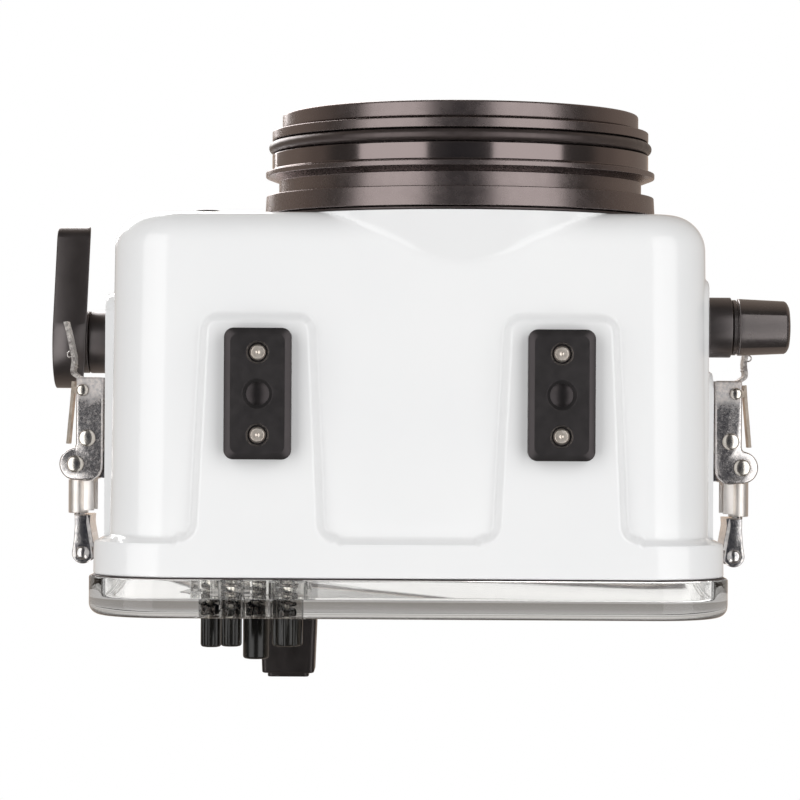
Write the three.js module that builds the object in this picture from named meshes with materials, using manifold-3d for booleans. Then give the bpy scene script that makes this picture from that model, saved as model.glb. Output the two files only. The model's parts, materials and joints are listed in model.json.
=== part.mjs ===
// Underwater camera housing, in millimetres: +X to the right seen from the front-down side, +Y to the clear back,
// +Z up. The origin lies on the plane that the feet stand on, under the middle of the body.
import * as THREE from 'three';
import { mergeVertices } from 'three/addons/utils/BufferGeometryUtils.js';
import Module from 'manifold-3d';

const wasm = await Module();
wasm.setup();

// Clearances
const gap = 0.3;
const overrun = 1;

// Steps of round shapes
const cornerSteps = 5;
const frontSteps = 4;
const portSides = 48;
const knobSides = 24;
const oringSides = 8;
const rodSides = 12;

// Feet, with a tray thread in the middle and a recessed screw at each end
const footX = 41;
const footY = -1.5;
const footWidth = 18.2;
const footLength = 35.5;
const footThickness = 4.7;
const footCorner = 2.2;
const footBevel = 1.3;
const trayThread = 6.35;
const trayThreadChamfer = 0.8;
const screwSpacing = 22.3;
const screwHead = 4.5;
const screwRecess = 5.9;
const screwShank = 3;
const screwHeadLow = 1.1;
const screwHeadHigh = 3.2;
const screwGrip = 5.6;
const dimpleRadius = 0.8;
const dimpleDepth = 0.6;

// Shell
const padLevel = footThickness + gap;
const padRise = 3;
const shellLow = padLevel + padRise;
const shellHeight = 122;
const shellHigh = shellLow + shellHeight;
const shellFront = -51.5;
const shellHalfFront = 81.6;
const shellSpread = 1.3;
const shellHalfRear = shellHalfFront + shellSpread;
const shellEdge = 17.5;
const shellFrontRadius = 10;
const wall = 4;
const bandRear = 48.5;
const bandWidth = 9.3;
const bandFront = bandRear - bandWidth;
const bandStep = 4.4;
const bandSlope = 1.2;
const bandHalf = shellHalfRear + bandStep;
const bandLow = shellLow - padRise;
const bandHigh = shellHigh + padRise;

// Raised finger pads round the feet
const fingerPadFront = -21;
const fingerPadFlare = 33.6;
const fingerPadInner = 27.8;
const fingerPadWidth = 26.8;
const fingerPadSpread = 2.4;
const fingerPadFlareRadius = 5.4;
const fingerPadSlope = 2.7;
const fingerPadCorner = 1.6;

// Raised pads on the sides, for the latches and glands
const sidePadProud = 2.1;
const sidePadFace = shellHalfRear + sidePadProud;
const sidePadLowInset = 23;
const sidePadHighInset = 18;
const sidePadLow = shellLow + sidePadLowInset;
const sidePadHigh = shellHigh - sidePadHighInset;
const sidePadCorner = 6;
const sidePadSlope = 1.2;
const leftPadFront = -28.8;
const rightPadFront = -8;
const zoomPadFront = -33;
const zoomPadProud = 1.1;
const zoomPadLowInset = 14;
const zoomPadLow = shellLow + zoomPadLowInset;
const zoomPadFace = shellHalfFront + zoomPadProud + shellSpread - sidePadProud / 2;

// Port: a boss on the shell, a gasket, the neck with its lands and the front ring
const portX = 14.3;
const portRise = 50;
const portZ = shellLow + portRise;
const neckBase = 55.9;
const bossProud = 1.1;
const bossRadius = neckBase + bossProud;
const bossSlopeShare = 0.48;
const bossDepth = 18;
const spigotInset = 6.9;
const portSpigot = neckBase - spigotInset;
const spigotWall = 2.5;
const portBore = portSpigot - spigotWall;
const spigotDepth = 4.5;
const gasketThickness = 0.6;
const gasketInset = 0.5;
const gasketRadius = neckBase - gasketInset;
const neckBaseLength = 5.4;
const neckGrooveDepth = 3.9;
const neckGroove = neckBase - neckGrooveDepth;
const neckGrooveLength = 3.1;
const neckFlangeInset = 0.1;
const neckFlange = neckBase - neckFlangeInset;
const neckFlangeRise = 2.4;
const neckFlangeLength = 1.4;
const neckLandInset = 1.9;
const neckLand = neckBase - neckLandInset;
const neckChamfer = 0.5;
const neckLandLength = 4.6;
const oringSection = 3.3;
const oringProud = 0.95;
const oringOuter = neckLand + oringProud;
const frontLandLength = 2.7;
const ringInset = 2.9;
const ringRadius = neckLand - ringInset;
const ringLength = 4.6;
const ringRound = 1.2;
const ringSleeveWall = 2.1;
const ringSleeve = portBore + ringSleeveWall;
const ringSleeveLength = 9;

// Clear back with its seal
const backFront = bandRear + 0.4;
const backDepth = 10.7;
const backRear = backFront + backDepth;
const backProud = 1.2;
const backHalf = bandHalf + backProud;
const backLow = bandLow - backProud + gap;
const backHigh = bandHigh + backProud;
const backEdge = 21.5;
const backRound = 3.2;
const backRim = 5;
const backWall = 5;
const panRound = 2;
const sealInset = 1.3;
const sealWidth = 2.4;
const sealDepth = 2.3;

// Latches, in a frame on the lever's pivot: x out from the body, y to the back, z up
const latchZ = portZ;
const pivotOut = 9.7;
const pivotToJoint = 29.8;
const pivotY = bandRear - pivotToJoint;
const pivotX = sidePadFace + pivotOut;
const rivetRadius = 1.6;
const rivetHead = 2.4;
const headThickness = 0.9;
const basePlate = 1.2;
const baseHalf = 10.5;
const baseFront = -22.2;
const baseRear = 11.8;
const earLow = 7.5;
const earThickness = 1.2;
const earHalfWidth = 4.2;
const earRound = 3.2;
const leverHalf = 12;
const leverSheet = 1.2;
const leverOuter = -0.1;
const leverInner = -7.8;
const leverFront = -24.7;
const leverRear = 4.9;
const leverBulge = 4.6;
const leverPlateRear = -11.3;
const leverTabSheet = 1;
const leverTabHalf = 4.2;
const leverTabStep = [1.9, -25.9];
const leverTabBend = [1.6, -29.6];
const leverTabEnd = [4, -40.6];
const linkPin = [-3.3, -7.4];
const linkPinRadius = 1.2;
const linkPinHead = 2.4;
const lockPin = [-1.9, -21];
const lockPinRadius = 0.8;
const lockPinHead = 1.6;
const lockSheet = 0.9;
const lockHalf = 3;
const lockEarLow = lockHalf - earThickness;
const lockFront = [1.7, -23.5];
const lockRear = [3.2, -5.6];
const lockEarRound = 2;
const lockEarTip = [1.1, -21];
const lockEarTipRound = 1;
const lockEarSlot = 6.4;
const linkHalf = 6;
const linkInner = -4.7;
const linkThickness = 2.9;
const linkEye = 2.3;
const linkWindow = [-3.8, 3.2];
const linkWindowHalf = 3.6;
const barrelX = 0;
const barrelRadius = 3.15;
const barrelFront = 4.5;
const barrelLength = 9.8;
const studRadius = 1.5;
const studLength = 7;
const clawHalf = 8.5;
const clawStrap = 1.5;
const clawFront = barrelFront + barrelLength + gap;
const clawBridge = 2.1;
const clawOuter = 0.7;
const clawPin = [-1.85, 25.4];
const clawPinRadius = 1.2;
const clawRound = 3.1;
const clawRivetHead = 1.85;
const keeperSheet = 0.9;
const keeperHalf = 6;
const keeperLipGap = 0.9;
const keeperLipReach = 4;
const keeperRearInset = 2.6;

// Push buttons on the back: place from the back's left and lower edges, cap, and how far the cap stands out
const padButtons = [
  { right: 33, up: 35.9, radius: 2.95, proud: 10.3, fluted: true },
  { right: 39.5, up: 20.9, radius: 2.95, proud: 8.9, fluted: true },
  { right: 45.8, up: 34.4, radius: 3.7, proud: 13.4, fluted: false },
  { right: 55, up: 20.9, radius: 4.3, proud: 8.7, fluted: true },
  { right: 45.8, up: 49.4, radius: 3.7, proud: 8, fluted: false },
  { right: 33.2, up: 51.9, radius: 2.95, proud: 8, fluted: true },
].map((button) => ({ ...button, x: button.right - backHalf, z: backLow + button.up }));
const capLow = 2.8;
const capPocket = 3.6;
const capRound = 0.7;
const capFlutes = 9;
const capFluteDepth = 0.4;
const plungerRadius = 1.5;
const plungerInside = 8.5;
const plungerTip = 2.6;
const plungerTipLength = 1.6;
const plungerInCap = 2;
const buttonBoss = 5.9;
const bossFront = 0.7;
const springSeat = 1.6;

// Large block on the back
const blockInset = 53.9;
const blockRise = 58.9;
const blockX = blockInset - backHalf;
const blockLow = backLow + blockRise;
const blockHeight = 18;
const blockWidth = 16.5;
const blockLength = 19.5;
const blockTaper = 0.7;
const blockRound = 1.4;
const blockEndWidth = 11.9;
const blockEndHeight = 14;
const blockEndLength = 1.1;
const blockShaft = 3;
const blockBoss = 6.5;
const blockShaftInside = 9;
const blockShaftInBlock = 8;
const blockFinger = 7;
const blockFingerWidth = 2.4;

// Glands and shafts on the sides
const glandStem = 5;
const glandInside = 3.4;
const shaftRadius = 3;
const shutterY = -16.9;
const shutterDrop = 30;
const shutterZ = shellHigh - shutterDrop;
const shutterGland = 9.35;
const shutterGlandProud = 10.8;
const shutterGlandEnd = sidePadFace + shutterGlandProud;
const shutterLeverFace = shutterGlandEnd + gap;
const shutterHub = 13.9;
const shutterHubThickness = 10.1;
const shutterRecess = 1.1;
const shutterTipRise = 4;
const shutterTip = [-46.1, shutterZ + shutterTipRise];
const shutterTipRound = 5.8;
const shutterBevel = 0.5;
const shutterSocket = 7;
const shutterArmOuter = shellHalfFront - wall - glandInside - gap;
const shutterArmThickness = 6;
const shutterArmHub = 6;
const shutterArmRise = 15;
const shutterArmEnd = [-28, shutterZ + shutterArmRise];
const shutterArmEndRound = 3;
const insideReach = 31.6;
const shutterFingerEnd = shellHalfFront - insideReach;
const zoomY = -20.8;
const zoomRise = 26;
const zoomZ = shellLow + zoomRise;
const zoomGland = 8.4;
const zoomGlandProud = 6.8;
const zoomGlandEnd = zoomPadFace + zoomGlandProud;
const zoomCollar = 7.75;
const zoomCollarLength = 1.6;
const zoomKnobInner = 8.2;
const zoomKnobOuter = 7.55;
const zoomKnobLength = 14.05;
const zoomDome = 0.6;
const zoomFlats = 6;
const zoomFlatDepth = 0.5;
const zoomFlatStart = 0.8;
const zoomFlatTurn = 17;
const zoomSocket = 9;
const zoomShaftEnd = shellHalfFront - insideReach;
const pinionTeeth = 14;
const pinionRadius = 8;
const pinionToothDepth = 1.6;
const pinionLength = 5;

// Controls on the top and the front
const dialInset = 51.6;
const dialX = dialInset - shellHalfFront;
const dialY = 8;
const dialRadius = 13;
const dialHeight = 7.6;
const dialFlutes = 20;
const dialFluteDepth = 0.6;
const dialShaftInside = 9;
const topButtonInset = 24.6;
const topButtonX = topButtonInset - shellHalfFront;
const topButtonY = 4;
const topButtonRadius = 6.4;
const topButtonTravel = 2;
const topButtonHeight = 3.6;
const frontButtonInset = 20.6;
const frontButtonX = frontButtonInset - shellHalfFront;
const frontButtonZ = shutterZ;
const frontButtonRadius = 3.9;
const frontButtonTravel = 1.8;
const frontButtonHeight = 3.3;
const stemRadius = 2;
const stemInside = 8;
const stemFoot = 3.4;
const stemFootLength = 1.5;

// Camera tray and its screw
const trayInset = 21.6;
const trayHalf = shellHalfFront - trayInset;
const trayFront = -26;
const trayRear = 42;
const trayRail = 8;
const trayRailHeight = 4.7;
const trayPlate = 3;
const trayLip = 3;
const trayLipThickness = 2;
const trayCorner = 4;
const cameraScrewY = 12;
const cameraScrewHead = 7;
const cameraScrewHeadHeight = 3.6;
const cameraScrewThread = 3.1;
const cameraScrewLength = 7.4;

const materials = {
  whitePlastic: new THREE.MeshStandardMaterial({ color: 0xf2f1ee, roughness: 0.28, metalness: 0 }),
  blackPlastic: new THREE.MeshStandardMaterial({ color: 0x17130f, roughness: 0.38, metalness: 0 }),
  clearPlastic: new THREE.MeshStandardMaterial({
    color: 0xdfe6e8,
    roughness: 0.08,
    metalness: 0,
    transparent: true,
    opacity: 0.35,
  }),
  rubber: new THREE.MeshStandardMaterial({ color: 0x0c0b0a, roughness: 0.6, metalness: 0 }),
  steel: new THREE.MeshStandardMaterial({ color: 0xb9b6b0, roughness: 0.32, metalness: 1 }),
  brass: new THREE.MeshStandardMaterial({ color: 0xb2925a, roughness: 0.35, metalness: 1 }),
};

// Merges a geometry's shared points, drops its flat triangles and turns its faces outwards.
function closed(geometry) {
  const bare = geometry.clone();
  bare.deleteAttribute('normal');
  bare.deleteAttribute('uv');
  const merged = mergeVertices(bare);
  const places = merged.getAttribute('position');
  const index = merged.getIndex().array;
  const kept = [];
  let volume = 0;
  for (let i = 0; i < index.length; i += 3) {
    const [a, b, c] = index.slice(i, i + 3);
    if (a === b || b === c || c === a) continue;
    const corners = [a, b, c].map((k) => new THREE.Vector3().fromBufferAttribute(places, k));
    volume += corners[0].dot(corners[1].cross(corners[2]));
    kept.push(a, b, c);
  }
  if (volume < 0) kept.reverse();
  merged.setIndex(kept);
  return merged;
}

function toSolid(geometry) {
  const clean = closed(geometry);
  const vertProperties = new Float32Array(clean.getAttribute('position').array);
  const triVerts = new Uint32Array(clean.getIndex().array);
  return new wasm.Manifold(new wasm.Mesh({ numProp: 3, vertProperties, triVerts }));
}

function toGeometry(solid) {
  const mesh = solid.getMesh();
  const geometry = new THREE.BufferGeometry();
  geometry.setAttribute('position', new THREE.BufferAttribute(new Float32Array(mesh.vertProperties), 3));
  geometry.setIndex([...mesh.triVerts]);
  return geometry;
}

function join(...geometries) {
  return toGeometry(geometries.map(toSolid).reduce((whole, next) => whole.add(next)));
}

function cut(geometry, ...cutters) {
  return toGeometry(cutters.map(toSolid).reduce((rest, next) => rest.subtract(next), toSolid(geometry)));
}

// A shape made along +Y, turned to run along another axis.
function alongAxis(axis, geometry) {
  if (axis === 'x') geometry.rotateZ(-Math.PI / 2);
  if (axis === 'z') geometry.rotateX(Math.PI / 2);
  return geometry;
}

function rod(axis, radius, from, to, sides = rodSides) {
  const geometry = new THREE.CylinderGeometry(radius, radius, to - from, sides);
  return alongAxis(axis, geometry.translate(0, (from + to) / 2, 0));
}

// A turned shape from [radius, distance along the axis] pairs.
function turned(axis, profile, sides = knobSides) {
  const points = profile.map(([radius, along]) => new THREE.Vector2(radius, along));
  return alongAxis(axis, new THREE.LatheGeometry(points, sides));
}

function box(x, y, z) {
  const geometry = new THREE.BoxGeometry(x[1] - x[0], y[1] - y[0], z[1] - z[0]);
  return geometry.translate((x[0] + x[1]) / 2, (y[0] + y[1]) / 2, (z[0] + z[1]) / 2);
}

function roundedOutline(x, y, radius) {
  const centres = [
    [x[1] - radius, y[1] - radius],
    [x[0] + radius, y[1] - radius],
    [x[0] + radius, y[0] + radius],
    [x[1] - radius, y[0] + radius],
  ];
  const points = [];
  centres.forEach(([cx, cy], corner) => {
    for (let i = 0; i <= cornerSteps; i += 1) {
      const angle = ((corner + i / cornerSteps) * Math.PI) / 2;
      points.push([cx + radius * Math.cos(angle), cy + radius * Math.sin(angle)]);
    }
  });
  return points;
}

function flutedOutline(radius, flutes, depth) {
  const points = [];
  const steps = flutes * 2;
  for (let i = 0; i < steps; i += 1) {
    const angle = (2 * Math.PI * i) / steps;
    const r = i % 2 === 0 ? radius - depth : radius;
    points.push([r * Math.cos(angle), r * Math.sin(angle)]);
  }
  return points;
}

// Joins outlines with the same number of points, each at its own distance along the axis, into a closed skin.
function loft(axis, rings) {
  const onAxis = {
    x: ([a, b], at) => [at, a, b],
    y: ([a, b], at) => [a, at, b],
    z: ([a, b], at) => [a, b, at],
  }[axis];
  const count = rings[0].outline.length;
  const places = rings.flatMap(({ outline, at }) => outline.flatMap((point) => onAxis(point, at)));
  const index = [];
  for (let ring = 0; ring + 1 < rings.length; ring += 1) {
    for (let i = 0; i < count; i += 1) {
      const a = ring * count + i;
      const b = ring * count + ((i + 1) % count);
      index.push(a, b, b + count, a, b + count, a + count);
    }
  }
  [0, rings.length - 1].forEach((ring) => {
    const { outline, at } = rings[ring];
    const middle = [0, 1].map((k) => outline.reduce((sum, point) => sum + point[k], 0) / count);
    const centre = places.length / 3;
    places.push(...onAxis(middle, at));
    for (let i = 0; i < count; i += 1) {
      const a = ring * count + i;
      const b = ring * count + ((i + 1) % count);
      if (ring === 0) index.push(centre, b, a);
      else index.push(centre, a, b);
    }
  });
  const geometry = new THREE.BufferGeometry();
  geometry.setAttribute('position', new THREE.Float32BufferAttribute(places, 3));
  geometry.setIndex(index);
  return geometry;
}

function slab(points, z) {
  const shape = new THREE.Shape(points.map(([x, y]) => new THREE.Vector2(x, y)));
  return new THREE.ExtrudeGeometry(shape, { depth: z[1] - z[0], bevelEnabled: false }).translate(0, 0, z[0]);
}

// The outline of two discs joined by their outer tangents.
function taperOutline(from, fromRadius, to, toRadius, steps = rodSides / 2) {
  const along = Math.atan2(to[1] - from[1], to[0] - from[0]);
  const distance = Math.hypot(to[0] - from[0], to[1] - from[1]);
  const tangent = Math.acos((fromRadius - toRadius) / distance);
  const points = [];
  for (let i = 0; i <= steps; i += 1) {
    const angle = along + tangent + ((2 * Math.PI - 2 * tangent) * i) / steps;
    points.push([from[0] + fromRadius * Math.cos(angle), from[1] + fromRadius * Math.sin(angle)]);
  }
  for (let i = 0; i <= steps; i += 1) {
    const angle = along - tangent + (2 * tangent * i) / steps;
    points.push([to[0] + toRadius * Math.cos(angle), to[1] + toRadius * Math.sin(angle)]);
  }
  return points;
}

// The outline of a bent sheet: a line of points with half the thickness on each side.
function sheetOutline(points, thickness) {
  const sides = points.map((point, i) => {
    const before = points[Math.max(i - 1, 0)];
    const after = points[Math.min(i + 1, points.length - 1)];
    const into = new THREE.Vector2(point[0] - before[0], point[1] - before[1]).normalize();
    const out = new THREE.Vector2(after[0] - point[0], after[1] - point[1]).normalize();
    const way = into.clone().add(out).normalize();
    const half = thickness / 2 / Math.max(way.dot(i === 0 ? out : into), 1 / 2);
    return [way.y * half, -way.x * half];
  });
  const right = points.map(([x, y], i) => [x + sides[i][0], y + sides[i][1]]);
  const left = points.map(([x, y], i) => [x - sides[i][0], y - sides[i][1]]);
  return [...right, ...left.reverse()];
}

function mirrored(geometry, side) {
  return side < 0 ? closed(geometry.clone().scale(-1, 1, 1)) : geometry;
}

function piece(name, geometry, material) {
  const mesh = new THREE.Mesh(closed(geometry), material);
  mesh.name = name;
  return mesh;
}

function group(place, ...pieces) {
  const holder = new THREE.Group();
  holder.position.set(...place);
  holder.add(...pieces);
  return holder;
}

// Rings of the shell's outside, or of its inside when inset by the wall.
function shellRings(inset, rear) {
  const rounding = shellFrontRadius - inset;
  const front = shellFront + inset;
  const rings = [];
  for (let i = 0; i <= frontSteps; i += 1) {
    const angle = ((i / frontSteps) * Math.PI) / 2;
    rings.push(shellRing(inset + rounding * (1 - Math.sin(angle)), front + rounding * (1 - Math.cos(angle))));
  }
  rings.push(shellRing(inset, rear));
  return rings;
}

function shellRing(inset, at) {
  const along = (at - shellFront) / (bandRear - shellFront);
  const half = shellHalfFront + (shellHalfRear - shellHalfFront) * along - inset;
  const outline = roundedOutline([-half, half], [shellLow + inset, shellHigh - inset], shellEdge - inset);
  return { at, outline };
}

function bandRing(at) {
  return { at, outline: roundedOutline([-bandHalf, bandHalf], [bandLow, bandHigh], shellEdge + padRise) };
}

// A pad on the bottom: straight sides that spread a little, then flare into the band.
function fingerPad(side) {
  const inner = fingerPadInner;
  const outer = fingerPadInner + fingerPadWidth;
  const spread = fingerPadSpread;
  const r = fingerPadFlareRadius;
  const flareEnd = fingerPadFlare + r;
  const c = fingerPadCorner;
  const shape = new THREE.Shape();
  shape.moveTo(inner + c, fingerPadFront);
  shape.lineTo(outer - c, fingerPadFront);
  shape.quadraticCurveTo(outer, fingerPadFront, outer, fingerPadFront + c);
  shape.lineTo(outer + spread, fingerPadFlare);
  shape.quadraticCurveTo(outer + spread, flareEnd, outer + spread + r, flareEnd);
  shape.lineTo(outer + spread + r, flareEnd + overrun);
  shape.lineTo(inner - spread - r, flareEnd + overrun);
  shape.lineTo(inner - spread - r, flareEnd);
  shape.quadraticCurveTo(inner - spread, flareEnd, inner - spread, fingerPadFlare);
  shape.lineTo(inner, fingerPadFront + c);
  shape.quadraticCurveTo(inner, fingerPadFront, inner + c, fingerPadFront);
  const geometry = new THREE.ExtrudeGeometry(shape, {
    depth: overrun,
    curveSegments: 4,
    bevelEnabled: true,
    bevelThickness: padRise,
    bevelSize: fingerPadSlope,
    bevelSegments: 1,
  });
  return mirrored(geometry.translate(0, 0, shellLow), side);
}

// A pad on a side, from the front to the band, with sloped edges.
function sidePad(side, front, low, high, face) {
  const inside = shellHalfFront - wall / 2;
  const slope = sidePadSlope;
  const rear = bandFront + overrun;
  const ring = (at, grow) => ({
    at: side * at,
    outline: roundedOutline([front - grow, rear + grow], [low - grow, high + grow], sidePadCorner),
  });
  return loft('x', [ring(inside, slope), ring(face - slope, slope), ring(face, 0)]);
}

function frontShell() {
  const sizes = [...shellRings(0, bandFront - bandSlope), bandRing(bandFront), bandRing(bandRear)];
  const boss = turned(
    'y',
    [
      [0, shellFront],
      [bossRadius, shellFront],
      [bossRadius - bossSlopeShare * bossDepth, shellFront + bossDepth],
      [0, shellFront + bossDepth],
    ],
    portSides,
  ).translate(portX, 0, portZ);
  const body = join(
    loft('y', sizes),
    boss,
    fingerPad(1),
    fingerPad(-1),
    sidePad(-1, leftPadFront, sidePadLow, sidePadHigh, sidePadFace),
    sidePad(1, rightPadFront, sidePadLow, sidePadHigh, sidePadFace),
    sidePad(1, zoomPadFront, zoomPadLow, sidePadHigh, zoomPadFace),
  );
  const inside = loft('y', [...shellRings(wall, bandRear), shellRing(wall, bandRear + overrun)]);
  const portHole = rod('y', portSpigot + gap, shellFront - overrun, shellFront + wall + overrun, portSides);
  const holes = [
    rod('x', glandStem + gap, -sidePadFace - overrun, -shellHalfFront + wall + overrun, rodSides)
      .translate(0, shutterY, shutterZ),
    rod('x', glandStem + gap, shellHalfFront - wall - overrun, sidePadFace + overrun, rodSides)
      .translate(0, zoomY, zoomZ),
    rod('z', shaftRadius + gap, shellHigh - wall - overrun, shellHigh + overrun).translate(dialX, dialY, 0),
    rod('z', stemRadius + gap, shellHigh - wall - overrun, shellHigh + overrun)
      .translate(topButtonX, topButtonY, 0),
    rod('y', stemRadius + gap, shellFront - overrun, shellFront + wall + overrun)
      .translate(frontButtonX, 0, frontButtonZ),
  ];
  for (const x of [-footX, footX]) {
    for (const y of [-screwSpacing / 2, screwSpacing / 2]) {
      const depth = padLevel + screwGrip + gap;
      holes.push(rod('z', screwShank / 2 + gap, padLevel - overrun, depth).translate(x, footY + y, 0));
    }
  }
  return cut(body, inside, portHole.translate(portX, 0, portZ), ...holes);
}

function trayFoot() {
  const ring = (at, inset) => ({
    at,
    outline: roundedOutline(
      [-footWidth / 2 + inset, footWidth / 2 - inset],
      [-footLength / 2 + inset, footLength / 2 - inset],
      footCorner - inset / 2,
    ),
  });
  const body = loft('z', [ring(0, footBevel), ring(footBevel, 0), ring(footThickness, 0)]);
  const thread = turned(
    'z',
    [
      [0, -overrun],
      [trayThread / 2 + trayThreadChamfer, -overrun],
      [trayThread / 2 + trayThreadChamfer, 0],
      [trayThread / 2, trayThreadChamfer],
      [trayThread / 2, footThickness + overrun],
      [0, footThickness + overrun],
    ],
  );
  const cutters = [thread];
  for (const y of [-screwSpacing / 2, screwSpacing / 2]) {
    cutters.push(rod('z', screwRecess / 2, -overrun, screwHeadHigh + gap).translate(0, y, 0));
    cutters.push(rod('z', screwShank / 2 + gap, 0, footThickness + overrun).translate(0, y, 0));
  }
  return cut(body, ...cutters);
}

function footScrew() {
  return turned(
    'z',
    [
      [0, screwHeadLow + dimpleDepth],
      [dimpleRadius, screwHeadLow],
      [screwHead / 2, screwHeadLow],
      [screwHead / 2, screwHeadHigh],
      [screwShank / 2, screwHeadHigh],
      [screwShank / 2, padLevel + screwGrip],
      [0, padLevel + screwGrip],
    ],
    rodSides,
  );
}

function feet() {
  return [-1, 1].map((side) => {
    const name = side < 0 ? 'left' : 'right';
    const screws = [-1, 1].map((end) => {
      const where = end < 0 ? 'front' : 'rear';
      const screw = piece(`foot_screw_${name}_${where}`, footScrew(), materials.steel);
      screw.position.y = (end * screwSpacing) / 2;
      return screw;
    });
    const foot = piece(`tray_foot_${name}`, trayFoot(), materials.blackPlastic);
    return group([side * footX, footY, 0], foot, ...screws);
  });
}

// The port's pieces lie along -Y from the shell's front; distances here grow forwards.
function port() {
  const gasketBack = gap;
  const gasketFront = gasketBack + gasketThickness;
  const base = gasketFront + gap;
  const baseEnd = base + neckBaseLength;
  const grooveEnd = baseEnd + neckGrooveLength;
  const flangeStart = grooveEnd + neckFlangeRise;
  const flangeEnd = flangeStart + neckFlangeLength;
  const landStart = flangeEnd + neckChamfer;
  const landEnd = landStart + neckLandLength;
  const seatDepth = oringSection + gap;
  const frontLand = landEnd + oringSection + 2 * gap;
  const frontLandEnd = frontLand + frontLandLength;
  const seatRadius = oringOuter - seatDepth;
  const sleeveBack = frontLandEnd - ringSleeveLength;
  const neck = turned(
    'y',
    [
      [portBore, spigotDepth],
      [portSpigot, spigotDepth],
      [portSpigot, -base],
      [neckBase, -base],
      [neckBase - gap, -baseEnd],
      [neckGroove, -baseEnd],
      [neckGroove, -grooveEnd],
      [neckFlange, -flangeStart],
      [neckFlange, -flangeEnd],
      [neckLand, -landStart],
      [neckLand, -landEnd],
      [seatRadius, -landEnd],
      [seatRadius, -frontLand],
      [neckLand, -frontLand],
      [neckLand, -frontLandEnd],
      [ringSleeve + gap, -frontLandEnd],
      [ringSleeve + gap, gap - sleeveBack],
      [portBore, gap - sleeveBack],
      [portBore, spigotDepth],
    ],
    portSides,
  );
  const gasket = turned(
    'y',
    [
      [portSpigot + gap, -gasketBack],
      [gasketRadius, -gasketBack],
      [gasketRadius, -gasketFront],
      [portSpigot + gap, -gasketFront],
      [portSpigot + gap, -gasketBack],
    ],
    portSides,
  );
  const ringFront = frontLandEnd + gap + ringLength;
  const frontRing = turned(
    'y',
    [
      [portBore, -sleeveBack],
      [ringSleeve, -sleeveBack],
      [ringSleeve, -frontLandEnd - gap],
      [ringRadius, -frontLandEnd - gap],
      [ringRadius, ringRound - ringFront],
      [ringRadius - ringRound / 3, ringRound / 3 - ringFront],
      [ringRadius - ringRound, -ringFront],
      [portBore, -ringFront],
      [portBore, -sleeveBack],
    ],
    portSides,
  );
  const oringHalf = oringSection / 2;
  const oring = new THREE.TorusGeometry(oringOuter - oringHalf, oringHalf, oringSides, portSides);
  oring.rotateX(Math.PI / 2);
  oring.translate(0, -landEnd - gap - oringHalf, 0);
  return group(
    [portX, shellFront, portZ],
    piece('port_neck', neck, materials.blackPlastic),
    piece('port_gasket', gasket, materials.rubber),
    piece('port_oring', oring, materials.rubber),
    piece('port_front_ring', frontRing, materials.blackPlastic),
  );
}

function backRing(inset, at) {
  const outline = roundedOutline(
    [-backHalf + inset, backHalf - inset],
    [backLow + inset, backHigh - inset],
    backEdge - inset,
  );
  return { at, outline };
}

// Rings of the back from its open front to a rounded rear.
function backRings(inset, front, rear, rounding) {
  const rings = [backRing(inset, front)];
  for (let i = 0; i <= frontSteps; i += 1) {
    const angle = ((i / frontSteps) * Math.PI) / 2;
    rings.push(backRing(inset + rounding * (1 - Math.cos(angle)), rear - rounding * (1 - Math.sin(angle))));
  }
  return rings;
}

function backCover() {
  const panRear = backRear - backWall;
  const bossEnd = backFront + bossFront;
  const pan = cut(
    loft('y', backRings(0, backFront, backRear, backRound)),
    loft('y', backRings(backRim, backFront - overrun, panRear, panRound)),
  );
  const bosses = padButtons.map(({ x, z }) =>
    rod('y', buttonBoss, bossEnd, panRear + overrun, knobSides).translate(x, 0, z),
  );
  const blockZ = blockLow + blockHeight / 2;
  bosses.push(rod('y', blockBoss, bossEnd, panRear + overrun, knobSides).translate(blockX, 0, blockZ));
  const sealOuter = sealInset - gap;
  const sealInner = sealInset + sealWidth + gap;
  const sealFloor = backFront + sealDepth;
  const groove = cut(
    loft('y', [backRing(sealOuter, backFront - overrun), backRing(sealOuter, sealFloor)]),
    loft('y', [backRing(sealInner, backFront - 2 * overrun), backRing(sealInner, sealFloor + overrun)]),
  );
  const holes = padButtons.flatMap(({ x, z, radius }) => [
    rod('y', radius + gap, bossEnd + springSeat, backRear + overrun, knobSides).translate(x, 0, z),
    rod('y', plungerRadius + gap, backFront - overrun, backRear).translate(x, 0, z),
  ]);
  holes.push(rod('y', blockShaft + gap, backFront - overrun, backRear + overrun).translate(blockX, 0, blockZ));
  return cut(join(pan, ...bosses), groove, ...holes);
}

function backSeal() {
  const front = bandRear + gap;
  const rear = backFront + sealDepth - gap;
  const outer = loft('y', [backRing(sealInset, front), backRing(sealInset, rear)]);
  const inset = sealInset + sealWidth;
  const inner = loft('y', [backRing(inset, front - overrun), backRing(inset, rear + overrun)]);
  return cut(outer, inner);
}

function buttonCap({ radius, proud, fluted }) {
  const top = proud;
  const outline = fluted
    ? flutedOutline(radius, capFlutes, capFluteDepth)
    : flutedOutline(radius, capFlutes, 0);
  const shrunk = outline.map(([x, y]) => [x * (1 - capRound / radius), y * (1 - capRound / radius)]);
  const body = loft('y', [
    { at: capLow - capPocket, outline },
    { at: top - capRound, outline },
    { at: top, outline: shrunk },
  ]);
  const socketEnd = capLow - capPocket + plungerInCap;
  return cut(body, rod('y', plungerRadius + gap, capLow - capPocket - overrun, socketEnd));
}

function buttonPlunger() {
  const inner = -plungerInside - backWall;
  const outer = capLow - capPocket + plungerInCap - gap;
  return turned(
    'y',
    [
      [0, inner],
      [plungerTip, inner],
      [plungerTip, inner + plungerTipLength],
      [plungerRadius, inner + plungerTipLength],
      [plungerRadius, outer],
      [0, outer],
    ],
    rodSides,
  );
}

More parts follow.
